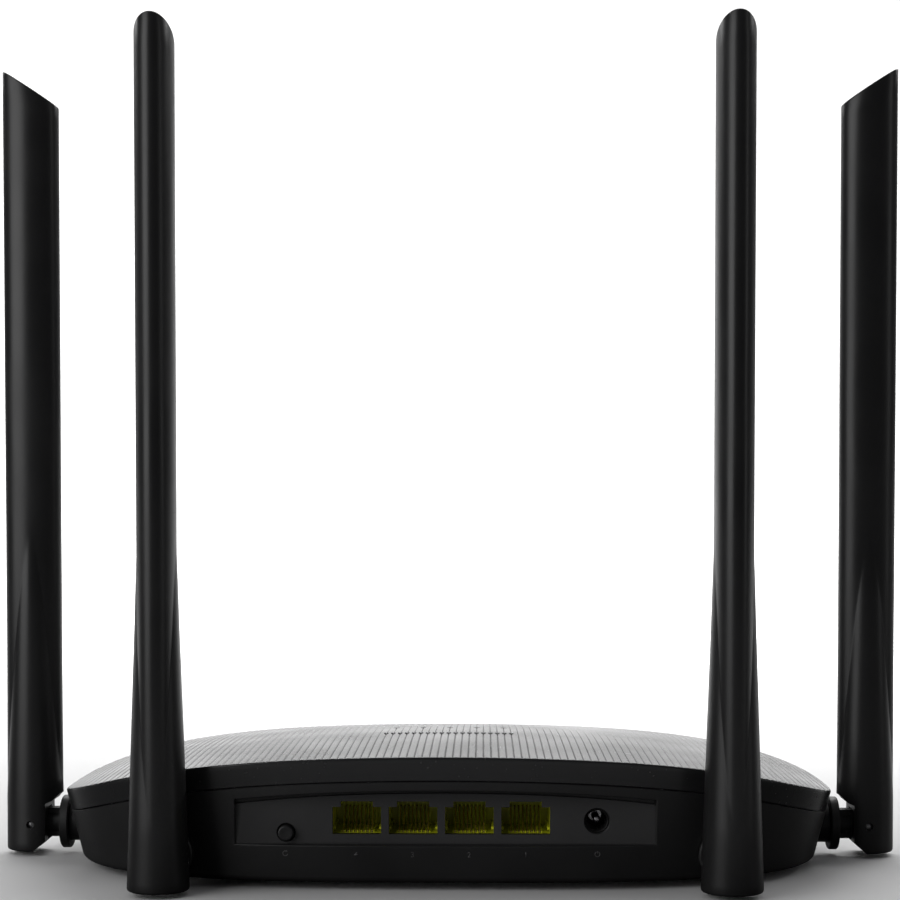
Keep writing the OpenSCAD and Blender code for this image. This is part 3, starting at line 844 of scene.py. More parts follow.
@dataclass(frozen=True)
class CaseForm:
    """The leaning walls and the crowned lid that all skins of the case share, in millimetres."""

    rear_y: float
    foot: float = 2.0
    height: float = 31.7
    half_w: float = 98.5
    half_d: float = 59.0
    side_lean: float = 0.25
    end_lean: float = 0.095
    power: float = 3.0
    rim: float = 6.0
    wall: float = 2.0
    crown_round: float = 5.86
    crown_shoulder: float = 7.06
    front_fall: float = 5.0
    fall_start: float = 30.0
    settle_steps: int = 14

    @property
    def rim_half_d(self) -> float:
        """Half the depth of the case at the top of the port side."""
        return self.half_d + self.end_lean * self.height

    @property
    def mid_y(self) -> float:
        """Y of the middle of the case."""
        return self.rear_y + self.rim_half_d

    def crown(self, x: np.ndarray) -> np.ndarray:
        """Returns how far the lid has fallen at x: a square and a fourth power of x."""
        return self.crown_round * (x / 100) ** 2 + self.crown_shoulder * (x / 100) ** 4

    def lid_height(self, x: np.ndarray, y: np.ndarray) -> np.ndarray:
        """Returns the lid's height above the case bottom: the crown, and a quadratic fall to the front."""
        run = np.maximum(0, y - self.rear_y - self.fall_start) / (2 * self.rim_half_d - self.fall_start)
        fall = run ** 2
        return self.height - self.front_fall * fall - self.crown(x) * (1 - 0.3 * fall)

    def far_side(self, share: np.ndarray) -> np.ndarray:
        """Returns the other coordinate of a squarish oval of half size 1 where one is share."""
        return np.maximum(0, 1 - np.abs(share) ** self.power) ** (1 / self.power)

    def outline(self, share: np.ndarray, side: np.ndarray, drop: np.ndarray | float,
                inset: float) -> np.ndarray:
        """Works out one ring of the leaning wall at a fixed drop below the lid.

        The ring is the squarish oval whose half sizes grow with height; its own height is the
        lid's there less the drop, found by repeating the two until they settle.

        Args:
            share: x as a share of the half width, from -1 to 1.
            side: -1 for the port side, 1 for the front.
            drop: distance below the lid's surface.
            inset: distance inside the wall.
        Returns:
            Points, n x 3.
        """
        h = np.full(share.shape, self.height - 8.0)
        for _ in range(self.settle_steps):
            x = (self.half_w + self.side_lean * h - inset) * share
            y = self.mid_y + side * (self.half_d + self.end_lean * h - inset) * self.far_side(share)
            h = self.lid_height(x, y) - drop
        return np.stack([x, y, h + self.foot], 1)

    def level_ring(self, turn: np.ndarray, h: np.ndarray | float, inset: float) -> np.ndarray:
        """Works out a ring of the wall at heights h above the case bottom.

        Args:
            turn: angle round the case.
            h: height of each point.
            inset: distance inside the wall.
        Returns:
            Points, n x 3.
        """
        c, s = np.cos(turn), np.sin(turn)
        x = (self.half_w + self.side_lean * h - inset) * np.sign(c) * np.abs(c) ** (2 / self.power)
        y = self.mid_y + (self.half_d + self.end_lean * h - inset) * np.sign(s) * np.abs(s) ** (2 / self.power)
        return np.stack([x, y, h + self.foot + 0 * x], 1)

    def port_wall_y(self, x: np.ndarray, z: np.ndarray) -> np.ndarray:
        """Returns Y of the outside of the port-side wall at x and z."""
        h = z - self.foot
        share = np.clip(x / (self.half_w + self.side_lean * h), -1, 1)
        return self.mid_y - (self.half_d + self.end_lean * h) * self.far_side(share)


@dataclass
class Lid:
    """The ribbed, crowned upper shell with its rim band, air slots and lamp windows."""

    form: CaseForm
    rib_pitch: float = 1.9
    groove_half: float = 0.3
    groove_depth: float = 0.3
    rib_swell: float = 0.05
    edge_round: float = 0.45
    slot_half: float = 0.6
    slot_reach: tuple[float, float] = (55.8, 60.2)
    slots: int = 19
    windows: tuple[int, ...] = (-8, -4, 0, 4, 8)
    window_setback: float = 81.0
    window_r: float = 0.85
    post_spots: tuple[float, float] = (84.0, 32.0)
    post_sides: int = 32

    def rib_columns(self, end: float) -> np.ndarray:
        """Returns the X of the grid's columns: eight in each rib, and closer ones near both ends."""
        steps = np.array([-self.slot_half, -self.groove_half, -0.14, 0, 0.14, self.groove_half, self.slot_half,
                          self.rib_pitch / 2])
        ribs = np.arange(-60, 61)
        lattice = (ribs[:, None] * self.rib_pitch + steps[None, :]).ravel()
        near_end = end * np.cos(np.radians([0, 0.5, 1, 2, 3, 4.5, 6])) ** (2 / self.form.power)
        limit = near_end.min() - 0.05
        lattice = lattice[np.abs(lattice) < limit]
        return np.sort(np.concatenate([lattice, near_end, -near_end]))

    def rib_relief(self, x: np.ndarray) -> np.ndarray:
        """Returns how far the ribbed surface lies under the smooth lid: a round-bottomed groove on
        every multiple of the pitch, and ribs that swell to their middles."""
        off = np.abs((x + self.rib_pitch / 2) % self.rib_pitch - self.rib_pitch / 2)
        groove = self.groove_depth * smooth_step(1 - off / self.groove_half)
        swell = self.rib_swell * ((self.rib_pitch / 2 - off) / (self.rib_pitch / 2)) ** 2
        return groove + swell

    def rows(self) -> tuple[np.ndarray, np.ndarray]:
        """Returns the grid rows as shares of the half depth, port side then front, both from the middle."""
        half = self.form.rim_half_d
        a, b = [(half - s) / half for s in self.slot_reach]
        port = np.array([1, 0.985, 0.95, 0.88, 0.8, 0.7, 0.6, 0.5, 0.4, 0.3, 0.2, a, b])
        w0, w1, w2 = [(self.window_setback + k * self.rib_pitch / 2 - half) / half for k in (-1, 0, 1)]
        front = np.array([0, 0.1, 0.2, w0, w1, w2, 0.42, 0.54, 0.66, 0.78, 0.88, 0.95, 0.985, 1])
        return port, front

    def layer(self, x: np.ndarray, drop: float, inset: float,
              ribbed: bool) -> tuple[np.ndarray, np.ndarray, np.ndarray]:
        """Works out one face of the lid's roof.

        Args:
            x: X of each column.
            drop: distance below the lid's surface.
            inset: distance of its edge inside the wall.
            ribbed: whether the ribs are on it.
        Returns:
            Points, rows x columns x 3, and each column's share of the half width on both sides.
        """
        f = self.form
        edges, shares = [], []
        for side in (-1.0, 1.0):
            share = x / np.abs(x).max()
            for _ in range(f.settle_steps):
                edge = f.outline(share, side, drop, inset)
                off_middle = np.abs(edge[:, 0]) > 1e-9
                ratio = np.where(off_middle, x / np.where(edge[:, 0] == 0, 1, edge[:, 0]), 1)
                share = np.clip(share * ratio, -1, 1)
            edges.append(edge[:, 1])
            shares.append(share)
        port, front = self.rows()
        y = np.concatenate([f.mid_y + port[:, None] * (edges[0] - f.mid_y)[None, :],
                            f.mid_y + front[:, None] * (edges[1] - f.mid_y)[None, :]])
        xx = np.broadcast_to(x, y.shape)
        z = f.foot + f.lid_height(xx, y) - drop
        if ribbed:
            z = z - self.rib_relief(xx)
        return np.stack([xx, y, z], 2), shares[0], shares[1]

    def roof_ends(self, drop: float, inset: float) -> float:
        """Returns the X at which the roof's edge meets the middle plane, on the +X side."""
        return float(self.form.outline(np.array([1.0]), 1.0, drop, inset)[0, 0])

    def ring_of(self, shares: tuple[np.ndarray, np.ndarray], drop: float, inset: float) -> np.ndarray:
        """Returns one closed ring round the lid: the port side from -X to +X, then the front back again."""
        port = self.form.outline(shares[0], -1.0, drop, inset)
        front = self.form.outline(shares[1], 1.0, drop, inset)
        return np.concatenate([port, front[-2:0:-1]])

    def window_ring(self, points: np.ndarray, cols: slice, rows: slice) -> np.ndarray:
        """Lists the point numbers round a block of grid cells, anticlockwise from above."""
        width = points.shape[1]
        i0, i1, j0, j1 = rows.start, rows.stop, cols.start, cols.stop
        low = [(i0, j) for j in range(j0, j1)]
        right = [(i, j1) for i in range(i0, i1)]
        high = [(i1, j) for j in range(j1, j0, -1)]
        left = [(i, j0) for i in range(i1, i0, -1)]
        return np.array([i * width + j for i, j in low + right + high + left])

    def build(self) -> bpy.types.Object:
        """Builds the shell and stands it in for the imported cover.

        Returns:
            The lid.
        """
        f = self.form
        r = self.edge_round
        end = self.roof_ends(0, r)
        x = self.rib_columns(end)
        inner_end = self.roof_ends(f.wall, f.wall + r)
        inner_x = x - np.sign(x) * (end - inner_end) * (np.abs(x) / end) ** 6
        outer, port_share, front_share = self.layer(x, 0, r, True)
        inner, port_in, front_in = self.layer(inner_x, f.wall, f.wall + r, False)
        rows, cols = outer.shape[:2]
        cells = grid_faces(rows, cols)
        keep = np.ones(len(cells), bool)
        port, _ = self.rows()
        slot_row = len(port) - 2
        blocks = []
        for i in range(self.slots):
            middle = (i - (self.slots - 1) / 2) * self.rib_pitch
            j0, j1 = [int(np.argmin(np.abs(x - middle - d))) for d in (-self.slot_half, self.slot_half)]
            blocks.append((slice(j0, j1), slice(slot_row, slot_row + 1), None))
        for i in self.windows:
            middle = i * self.rib_pitch
            j0, j1 = [int(np.argmin(np.abs(x - middle - d))) for d in (-self.rib_pitch / 2, self.rib_pitch / 2)]
            row = len(port) + 3
            blocks.append((slice(j0, j1), slice(row, row + 2), middle))
        base = rows * cols
        extra, extra_faces = [], []
        count = 2 * base
        for block_cols, block_rows, centre in blocks:
            for i in range(block_rows.start, block_rows.stop):
                keep[i * (cols - 1) + block_cols.start:i * (cols - 1) + block_cols.stop] = False
            ring = self.window_ring(outer, block_cols, block_rows)
            n = len(ring)
            k = np.arange(n)
            top, low = ring, ring + base
            if centre is not None:
                for layer, numbers in ((outer, ring), (inner, ring)):
                    p = layer.reshape(-1, 3)[numbers]
                    aim = np.arctan2(p[:, 1] - f.rear_y - self.window_setback, p[:, 0] - centre)
                    round_hole = np.stack([centre + self.window_r * np.cos(aim),
                                           f.rear_y + self.window_setback + self.window_r * np.sin(aim),
                                           np.full(n, p[:, 2].mean())], 1)
                    extra.append(round_hole)
                new_top, new_low = count + k, count + n + k
                count += 2 * n
                extra_faces.append(np.stack([top, np.roll(top, -1), np.roll(new_top, -1), new_top], 1))
                extra_faces.append(np.stack([low, new_low, np.roll(new_low, -1), np.roll(low, -1)], 1))
                top, low = new_top, new_low
            extra_faces.append(np.stack([top, np.roll(top, -1), np.roll(low, -1), low], 1))
        cells = cells[keep]
        shares, shares_in = (port_share, front_share), (port_in, front_in)
        arc = np.radians([30, 60, 90])
        rings = [self.ring_of(shares, r * (1 - math.cos(a)), r * (1 - math.sin(a))) for a in arc]
        rings += [self.ring_of(shares, d, 0) for d in (1.5, 3.0, 4.5, f.rim - 0.2)]
        rings += [self.ring_of(shares, f.rim, 0.2), self.ring_of(shares_in, f.rim, f.wall)]
        rings += [self.ring_of(shares_in, d, f.wall) for d in (4.5, f.wall + r)]
        n = len(rings[0])
        start = count
        edge = np.concatenate([np.arange(cols), (rows - 1) * cols + np.arange(cols - 2, 0, -1)])
        walls = grid_faces(len(rings), n, True) + start
        k = np.arange(n)
        first = np.stack([edge, np.roll(edge, -1), start + (k + 1) % n, start + k], 1)[:, ::-1]
        last_row = start + (len(rings) - 1) * n
        last = np.stack([edge + base, np.roll(edge, -1) + base, last_row + (k + 1) % n, last_row + k], 1)
        points = np.vstack([outer.reshape(-1, 3), inner.reshape(-1, 3)] + extra + rings)
        shell = Shell(points, [cells, cells[:, ::-1] + base, walls[:, ::-1], first, last] + extra_faces)
        lid = piece("lid_shell", self.with_posts(shell.outward()), "case", 40)
        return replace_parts(lid, "top_cover")

    def with_posts(self, shell: Shell) -> Shell:
        """Adds the four hollow screw posts that hang from the roof."""
        f = self.form
        posts = []
        for side in (-1, 1):
            for end in (-1, 1):
                spot = (side * self.post_spots[0], f.mid_y + end * self.post_spots[1], 0.0)
                top = float(f.lid_height(np.array(spot[0]), np.array(spot[1]))) + f.foot - 1.2
                profile = [(1.3, 9.2), (3.4, 9.2), (3.4, top), (1.3, top - 1.5)]
                posts.append(closed_torus(turned_rings(profile, Axis.ALONG_Z, spot, self.post_sides)))
        return joined(shell, *posts)

    def dress(self, lid: bpy.types.Object) -> None:
        """Gives the lid its glossy ribbed finish."""
        Finish.LID.coat(lid)


@dataclass
class LowerCase:
    """The lower shell: leaning walls, recessed port panel, antenna bosses and underside."""

    form: CaseForm
    turns: int = 288
    foot_round: float = 1.4
    seam: float = 0.15
    panel_half: float = 52.2
    panel_setback: float = 5.6
    panel_low: float = 9.4
    panel_high: float = 23.2
    port_pitch: float = 14.0
    port_mid: float = -1.0
    port_w: float = 12.1
    port_z: tuple[float, float, float] = (13.8, 20.6, 22.0)
    notch_w: float = 8.0
    hinge_z: float = 8.6
    rear_x: float = 70.3
    side_x: float = 103.6
    side_setback: float = 59.0
    boss_r: float = 5.2
    gap_deep: float = 1.0
    gap_high: float = 0.15
    gap_low: float = 1.25
    air_slots: int = 12

    def skin(self) -> Shell:
        """Works out the cup-shaped wall: bottom, rounded lower edge, leaning wall, seam and inside.

        Each ring is the squarish oval at its own height; the lower edge follows a quarter circle
        and the top follows the lid's crown, a rim's height below it.

        Returns:
            The closed shell.
        """
        f = self.form
        turn = np.arange(self.turns) * TURN / self.turns
        h_top = np.full(self.turns, 18.0)
        for _ in range(f.settle_steps):
            p = f.level_ring(turn, h_top, 0)
            h_top = f.lid_height(p[:, 0], p[:, 1]) - f.rim - self.seam
        r = self.foot_round
        rings = []
        for scale in (0.0, 0.5, 0.85):
            base = f.level_ring(turn, 0.0, r)
            middle = np.array([0, f.mid_y, f.foot])
            rings.append(middle + (base - middle) * scale)
        for a in np.radians([0, 22, 45, 68, 90]):
            rings.append(f.level_ring(turn, r * (1 - math.cos(a)), r * (1 - math.sin(a))))
        for share in np.linspace(0.1, 1, 9):
            rings.append(f.level_ring(turn, r + (h_top - 0.2 - r) * share, 0))
        rings.append(f.level_ring(turn, h_top, 0.2))
        rings.append(f.level_ring(turn, h_top, f.wall))
        rings.append(f.level_ring(turn, f.wall + (h_top - f.wall) * 0.5, f.wall))
        rings.append(f.level_ring(turn, f.wall, f.wall))
        floor = rings[-1]
        middle = np.array([0, f.mid_y, f.foot + f.wall])
        rings.append(middle + (floor - middle) * 0.5)
        rings.append(middle + (floor - middle) * 0.0)
        return grid(np.stack(rings), True).outward()

    def panel_line(self, grow: float) -> np.ndarray:
        """Returns the panel's outline in X and Z: flat below, with a top edge that follows the crown."""
        f = self.form
        w = self.panel_half + grow
        x = np.linspace(-w, w, 49)
        top = self.panel_high + grow - 1.25 * f.crown(x)
        low = np.full(x.shape, self.panel_low - grow)
        line = np.concatenate([np.stack([x, low], 1), np.stack([x, top], 1)[::-1]])
        return line + np.array([0, f.foot])

    def recess(self) -> Shell:
        """Works out the tool that sinks the panel: its outline, flared where it meets the wall so
        that the rim of the recess is eased, then straight back to the panel's face."""
        f = self.form
        rings = []
        for grow, depth in ((0.6, -1.2), (0.28, 0.0), (0.1, 0.1), (0.0, 0.34)):
            line = self.panel_line(grow)
            y = f.port_wall_y(line[:, 0], line[:, 1]) + depth
            rings.append(np.stack([line[:, 0], y, line[:, 1]], 1))
        line = self.panel_line(0)
        rings.append(np.stack([line[:, 0], np.full(len(line), f.rear_y + self.panel_setback), line[:, 1]], 1))
        first = rings[0].copy()
        first[:, 1] = f.rear_y - 6
        return tube(np.stack([first] + rings))

    def shadow_gap(self) -> Shell:
        """Works out the tool for the thin gap between the panel's face and the edge above it."""
        f = self.form
        x = np.linspace(-self.panel_half, self.panel_half, 49)
        top = f.foot + self.panel_high - 1.25 * f.crown(x)
        corners = [(-0.6, self.gap_high), (self.gap_deep, self.gap_high), (self.gap_deep, self.gap_low),
                   (-0.6, self.gap_low)]
        rings = [np.stack([x, np.full(x.shape, f.rear_y + self.panel_setback + deep), top - drop], 1)
                 for deep, drop in corners]
        return tube(np.stack(rings, 1))

    def panel_back(self) -> Shell:
        """Works out the thick plate behind the panel's face, following the wall in front."""
        f = self.form
        line = self.panel_line(1.6)
        near = np.stack([line[:, 0], f.port_wall_y(line[:, 0], line[:, 1]) + 0.6, line[:, 1]], 1)
        far = near.copy()
        far[:, 1] = f.rear_y + self.panel_setback + f.wall
        return tube(np.stack([near, far]))

    def port_x(self, number: int) -> float:
        """Returns X of the middle of a network socket, 0 to 3 from -X."""
        return self.port_mid + (number - 1.5) * self.port_pitch

    def port_mouth(self, number: int, s0: float, s1: float) -> Shell:
        """Returns the stepped mouth of a socket between two setbacks."""
        x, half, tab = self.port_x(number), self.port_w / 2, self.notch_w / 2
        low, step, high = self.port_z
        line = [(x - half, low), (x + half, low), (x + half, step), (x + tab, step), (x + tab, high),
                (x - tab, high), (x - tab, step), (x - half, step)]
        y0, y1 = self.form.rear_y + s0, self.form.rear_y + s1
        return tube(np.array([[(a, y, z) for a, z in line] for y in (y0, y1)]))

    def boss(self, along: Axis, spot: Point, length: float) -> Shell:
        """Returns a round boss, flat where it would reach below the case bottom."""
        t = np.arange(64) * TURN / 64
        ring = np.stack([self.boss_r * np.cos(t), self.boss_r * np.sin(t)], 1)
        rings = np.array([[(a, b, d) for a, b in ring] for d in (0.0, length)])
        p = placed(rings, along, spot)
        p[..., 2] = np.maximum(p[..., 2], self.form.foot + 0.01)
        return tube(p)

    def build(self) -> bpy.types.Object:
        """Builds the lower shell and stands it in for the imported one.

        Returns:
            The lower case.
        """
        f = self.form
        case = piece("lower_case", self.skin(), "case", 30)
        side_y = f.rear_y + self.side_setback
        adds = [self.boss(Axis.ALONG_Y, (x, f.rear_y + 8.0, self.hinge_z), 8.2) for x in (-self.rear_x, self.rear_x)]
        adds.append(self.boss(Axis.ALONG_X, (self.side_x - 9.6, side_y, self.hinge_z), 9.6))
        adds.append(self.boss(Axis.ALONG_X, (-self.side_x, side_y, self.hinge_z), 9.6))
        adds.append(self.panel_back())
        adds += [turned([(3.0, 3.0), (3.0, 9.9)], Axis.ALONG_Z, (x, f.rear_y + s, 0), 32) for x, s in BOARD_SCREWS]
        adds += [turned([(4.2, 3.0), (4.2, 9.0)], Axis.ALONG_Z, (x, f.mid_y + d, 0), 32) for x, d in CASE_SCREWS]
        combine(case, joined(*adds), "UNION", 30)
        combine(case, joined(self.recess(), *self.underside_tools()), "DIFFERENCE", 30)
        tools = [self.port_mouth(i, self.panel_setback - 1, self.panel_setback + 3) for i in range(4)]
        tools.append(self.shadow_gap())
        for (x, z), r in ((INLET_SPOT, 3.05), (RESET_SPOT, 2.15)):
            y = f.rear_y + self.panel_setback
            profile = [(r + 1.25, -1.0), (r, 0.25), (r, 3.0)]
            tools.append(turned(profile, Axis.ALONG_Y, (x, y, z)))
        for x in (-self.rear_x, self.rear_x):
            tools.append(turned([(7.5, -1.0), (7.5, 8.0)], Axis.ALONG_Y, (x, f.rear_y, self.hinge_z), 64))
            tools.append(turned([(4.05, 7.0), (4.05, 21.0)], Axis.ALONG_Y, (x, f.rear_y, self.hinge_z), 48))
        for d in (-1, 1):
            tools.append(turned([(4.05, -11.0), (4.05, 11.0)], Axis.ALONG_X, (d * 100.0, side_y, self.hinge_z), 48))
        combine(case, joined(*tools), "DIFFERENCE", 30)
        even = case.modifiers.new("even_shading", "WEIGHTED_NORMAL")
        even.keep_sharp = True
        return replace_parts(case, "bottom_case")

    def underside_tools(self) -> list[Shell]:
        """Returns what is cut through or sunk into the underside: screw wells, foot wells, keyholes,
        air slots and the label's bed."""
        f = self.form
        low = f.foot - 1
        well = [(3.5, low), (3.5, f.foot), (3.2, f.foot + 0.3), (3.2, 4.0), (1.6, 4.0), (1.6, 11.0)]
        bed, pilot = [(6.1, low), (6.1, f.foot + 0.6)], [(1.2, 5.0), (1.2, 12.0)]
        tools = [turned(well, Axis.ALONG_Z, (x, f.mid_y + d, 0), 40) for x, d in CASE_SCREWS]
        tools += [turned(bed, Axis.ALONG_Z, (x, f.mid_y + d, 0), 48) for x, d in FEET]
        tools += [turned(pilot, Axis.ALONG_Z, (x, f.rear_y + s, 0), 24) for x, s in BOARD_SCREWS]
        tools += [self.keyhole(x) for x in (-50, 50)]
        y0 = f.rear_y + 54
        for i in range(self.air_slots):
            x0 = -28.5 + 5 * i
            tools.append(block((x0, y0, low), (x0 + 2, y0 + 22, 5.0)))
        tools.append(block((-35, f.rear_y + 18, low), (35, f.rear_y + 46, f.foot + 0.2)))
        return tools

    def keyhole(self, x: float) -> Shell:
        """Returns the keyhole at x: a round entry run into a slot towards the front."""
        entry, half, reach = 3.5, 1.8, 7.0
        start = math.asin(half / entry)
        t = math.pi / 2 - start - np.linspace(0, TURN - 2 * start, 40)
        line = [(x + entry * math.cos(a), entry * math.sin(a)) for a in t]
        line += [(x - half, reach), (x + half, reach)]
        y = self.form.rear_y + 96
        rings = np.array([[(a, y + b, z) for a, b in line] for z in (1.0, 5.0)])
        return tube(rings)

    def dress(self, case: bpy.types.Object) -> None:
        """Gives the lower shell its fine satin finish, and the sunk panel's face a paler colour: painted light
        standing in for the bright floor it reflects.
        """
        Finish.CASE.coat(case)
        case.data.materials.append(Finish.PANEL.value.material())
        count = len(case.data.polygons)
        centres, normals = np.empty(count * 3), np.empty(count * 3)
        case.data.polygons.foreach_get("center", centres)
        case.data.polygons.foreach_get("normal", normals)
        face_y = (self.form.rear_y + self.panel_setback) * MM
        sunk = (np.abs(centres[1::3] - face_y) < FACE_SLACK) & (normals[1::3] < -0.99)
        case.data.polygons.foreach_set("material_index", sunk.astype(np.int32))


@dataclass
class PanelPrint:
    """Generic marks under the panel: socket numbers, a reset arrow and a power sign."""

    form: CaseForm
    sockets: LowerCase
    mark_z: float = 9.3
    height: float = 1.35
    lift: float = 0.03
    line_w: float = 0.2

    def arc(self, x: float, r: float, start: float, sweep: float) -> Shell:
        """Returns a flat ribbon along a circle about x, from start through sweep degrees."""
        t = np.radians(start + np.linspace(0, sweep, 28))
        half = self.line_w / 2
        rows = [np.stack([x + q * np.cos(t), 0 * t, q * np.sin(t)], 1) for q in (r - half, r + half)]
        return grid(np.stack(rows))

    def bar(self, x: float, z0: float, z1: float) -> Shell:
        """Returns a short upright ribbon."""
        half = self.line_w / 2
        rows = [np.array([(x + a, 0, z) for z in (z0, z1)]) for a in (-half, half)]
        return grid(np.stack(rows))

    def arrow_head(self, x: float, z: float) -> Shell:
        """Returns a small triangle that ends the reset arrow."""
        s = self.line_w * 1.6
        return Shell(np.array([(x - s, 0, z - s / 2), (x + s, 0, z - s / 2), (x, 0, z + s)], float),
                     [np.array([[0, 1, 2]])])

    def laid_on(self, flat: Shell, x: float) -> Shell:
        """Lays a flat mark on the port wall: Y is the wall's own Y less the lift."""
        p = flat.points + np.array([x, 0, self.mark_z])
        p[:, 1] = self.form.port_wall_y(p[:, 0], p[:, 2]) - self.lift
        return Shell(p, flat.faces)

    def build(self) -> bpy.types.Object:
        """Builds all marks as one thin printed layer.

        Returns:
            The print.
        """
        marks = [self.laid_on(drawn_sign(str(4 - i), self.height), self.sockets.port_x(i)) for i in range(4)]
        r = self.height / 2
        power = joined(self.arc(0, r * 0.9, 115, 310), self.bar(0, 0.05, r * 1.1))
        marks.append(self.laid_on(power, INLET_SPOT[0]))
        reset = joined(self.arc(0, r * 0.9, 60, 290), self.arrow_head(r * 0.45, r * 0.75))
        marks.append(self.laid_on(reset, RESET_SPOT[0]))
        layer = piece("panel_marks", joined(*marks), "case", 60)
        thick = layer.modifiers.new("ink", "SOLIDIFY")
        thick.thickness = 0.02 * MM
        thick.offset = 0.0
        return layer

    def dress(self, layer: bpy.types.Object) -> None:
        """Gives the marks their faint grey ink."""
        Finish.PANEL_PRINT.coat(layer)


# ---------- fittings of the port panel ----------

@dataclass
class NetworkSockets:
    """The wires and inner combs of the four network sockets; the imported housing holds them."""

    form: CaseForm
    case: LowerCase
    wires: int = 8
    wire_pitch: float = 1.02
    wire_r: float = 0.2
    floor_z: float = 13.8

    def wire_path(self, x: float) -> np.ndarray:
        """Returns a wire's path at x: a bend up from the floor near the mouth, a long sprung rise to the
        back, and a short turn down into the housing, as a quadratic curve between two straights."""
        y = self.form.rear_y
        corners = [(y + 9.0, self.floor_z + 0.22), (y + 9.9, self.floor_z + 0.3), (y + 19.3, self.floor_z + 4.7),
                   (y + 20.9, self.floor_z + 4.9)]
        line = np.array(rounded(corners, 1.6, 7))
        return np.stack([np.full(len(line), x), line[:, 0], line[:, 1]], 1)

    def comb(self, number: int) -> Shell:
        """Returns the ribs between the wires of one socket, on its floor and up its back wall."""
        y = self.form.rear_y
        middle = self.case.port_x(number)
        ribs = []
        for k in range(self.wires + 1):
            x = middle + (k - self.wires / 2) * self.wire_pitch
            ribs.append(block((x - 0.16, y + 8.6, self.floor_z - 0.02), (x + 0.16, y + 21.4, self.floor_z + 0.42), 0.04))
            ribs.append(block((x - 0.16, y + 20.2, self.floor_z), (x + 0.16, y + 21.4, self.floor_z + 6.2), 0.04))
        return joined(*ribs)

    def guides(self, number: int) -> Shell:
        """Returns the two side rails that carry the plug's shoulders in one socket."""
        y = self.form.rear_y
        middle = self.case.port_x(number)
        rails = []
        for side in (-1, 1):
            x = middle + side * (self.case.port_w / 2 - 0.3)
            rails.append(block((x - 0.3, y + 9.4, self.floor_z + 0.6), (x + 0.3, y + 21.4, self.floor_z + 1.3), 0.08))
        return joined(*rails)

    def build(self) -> list[bpy.types.Object]:
        """Builds the wires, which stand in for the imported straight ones, and the combs.

        Returns:
            The wires and the combs.
        """
        wires, combs = [], []
        for number in range(4):
            for k in range(self.wires):
                x = self.case.port_x(number) + (k - (self.wires - 1) / 2) * self.wire_pitch
                wires.append(swept(self.wire_path(x), self.wire_r, 10))
            combs += [self.comb(number), self.guides(number)]
        made = [piece("socket_wires", joined(*wires), "case", 40), piece("socket_combs", joined(*combs), "case", 30)]
        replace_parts(made[0], "lan_jack_contacts")
        return made

    def dress(self, made: list[bpy.types.Object]) -> None:
        """Gives the wires gold plate, and the combs and the housing their coloured plastic."""
        Finish.GOLD.coat(made[0])
        Finish.SOCKET.coat(made[1])
        Finish.SOCKET.coat(frame["nodes"]["lan_jack_housing"])


@dataclass
class PowerInlet:
    """The round power socket: a lining with an eased mouth, a domed pin and a spring leaf."""

    form: CaseForm
    x: float = INLET_SPOT[0]
    z: float = INLET_SPOT[1]
    mouth_r: float = 3.02
    pin_r: float = 0.95

    def build(self) -> list[bpy.types.Object]:
        """Builds the lining and the pin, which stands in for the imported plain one.

        Returns:
            The lining and the pin.
        """
        y = self.form.rear_y
        m = self.mouth_r
        wall = [(m, 6.3), (m - 0.25, 6.15), (m - 0.45, 6.4), (m - 0.45, 15.6), (m, 15.6)]
        rings = turned_rings(wall, Axis.ALONG_Y, (self.x, y, self.z), 56)
        lining = piece("inlet_lining", closed_torus(rings), "case", 30)
        tip = [(0.0, 8.6), (0.4, 8.62), (0.72, 8.8), (self.pin_r, 9.3), (self.pin_r, 16.6), (1.6, 16.6), (1.6, 17.6),
               (0.0, 17.6)]
        pin = piece("inlet_pin", turned(tip, Axis.ALONG_Y, (self.x, y, self.z), 40), "case", 40)
        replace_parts(pin, "power_jack_pin")
        return [lining, pin]

    def dress(self, made: list[bpy.types.Object]) -> None:
        """Gives the lining black plastic and the pin tin plate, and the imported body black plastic."""
        Finish.BLACK.coat(made[0])
        Finish.TIN.coat(made[1])
        Finish.BLACK.coat(frame["nodes"]["power_jack_body"])


@dataclass
class ResetKey:
    """The round reset button with an eased rim, a slightly dished face, collar and stem."""

    form: CaseForm
    x: float = RESET_SPOT[0]
    z: float = RESET_SPOT[1]
    radius: float = 1.95
    face: float = 3.8

    def build(self) -> bpy.types.Object:
        """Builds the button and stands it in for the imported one.

        Returns:
            The button.
        """
        r, s = self.radius, self.face
        profile = [(0.0, s + 0.1), (r * 0.55, s + 0.06), (r - 0.42, s), (r - 0.2, s + 0.05), (r - 0.05, s + 0.2),
                   (r, s + 0.42), (r, 7.75), (2.6, 7.75), (2.6, 8.75), (1.2, 8.75), (1.2, 11.3), (0.0, 11.3)]
        key = piece("reset_key", turned(profile, Axis.ALONG_Y, (self.x, self.form.rear_y, self.z), 48), "reset", 40)
        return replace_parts(key, "reset_button")

    def dress(self, key: bpy.types.Object) -> None:
        """Gives the button the case's satin finish."""
        Finish.CASE.coat(key)


# ---------- antennas ----------

class Place(Enum):
    """The four antennas: name, turn about Z from the hinge's own frame, and boss length in mm."""

    REAR_LEFT = ("rear_left", math.pi / 2, 8.2)
    REAR_RIGHT = ("rear_right", math.pi / 2, 8.2)
    SIDE_LEFT = ("side_left", 0.0, 9.6)
    SIDE_RIGHT = ("side_right", math.pi, 9.6)


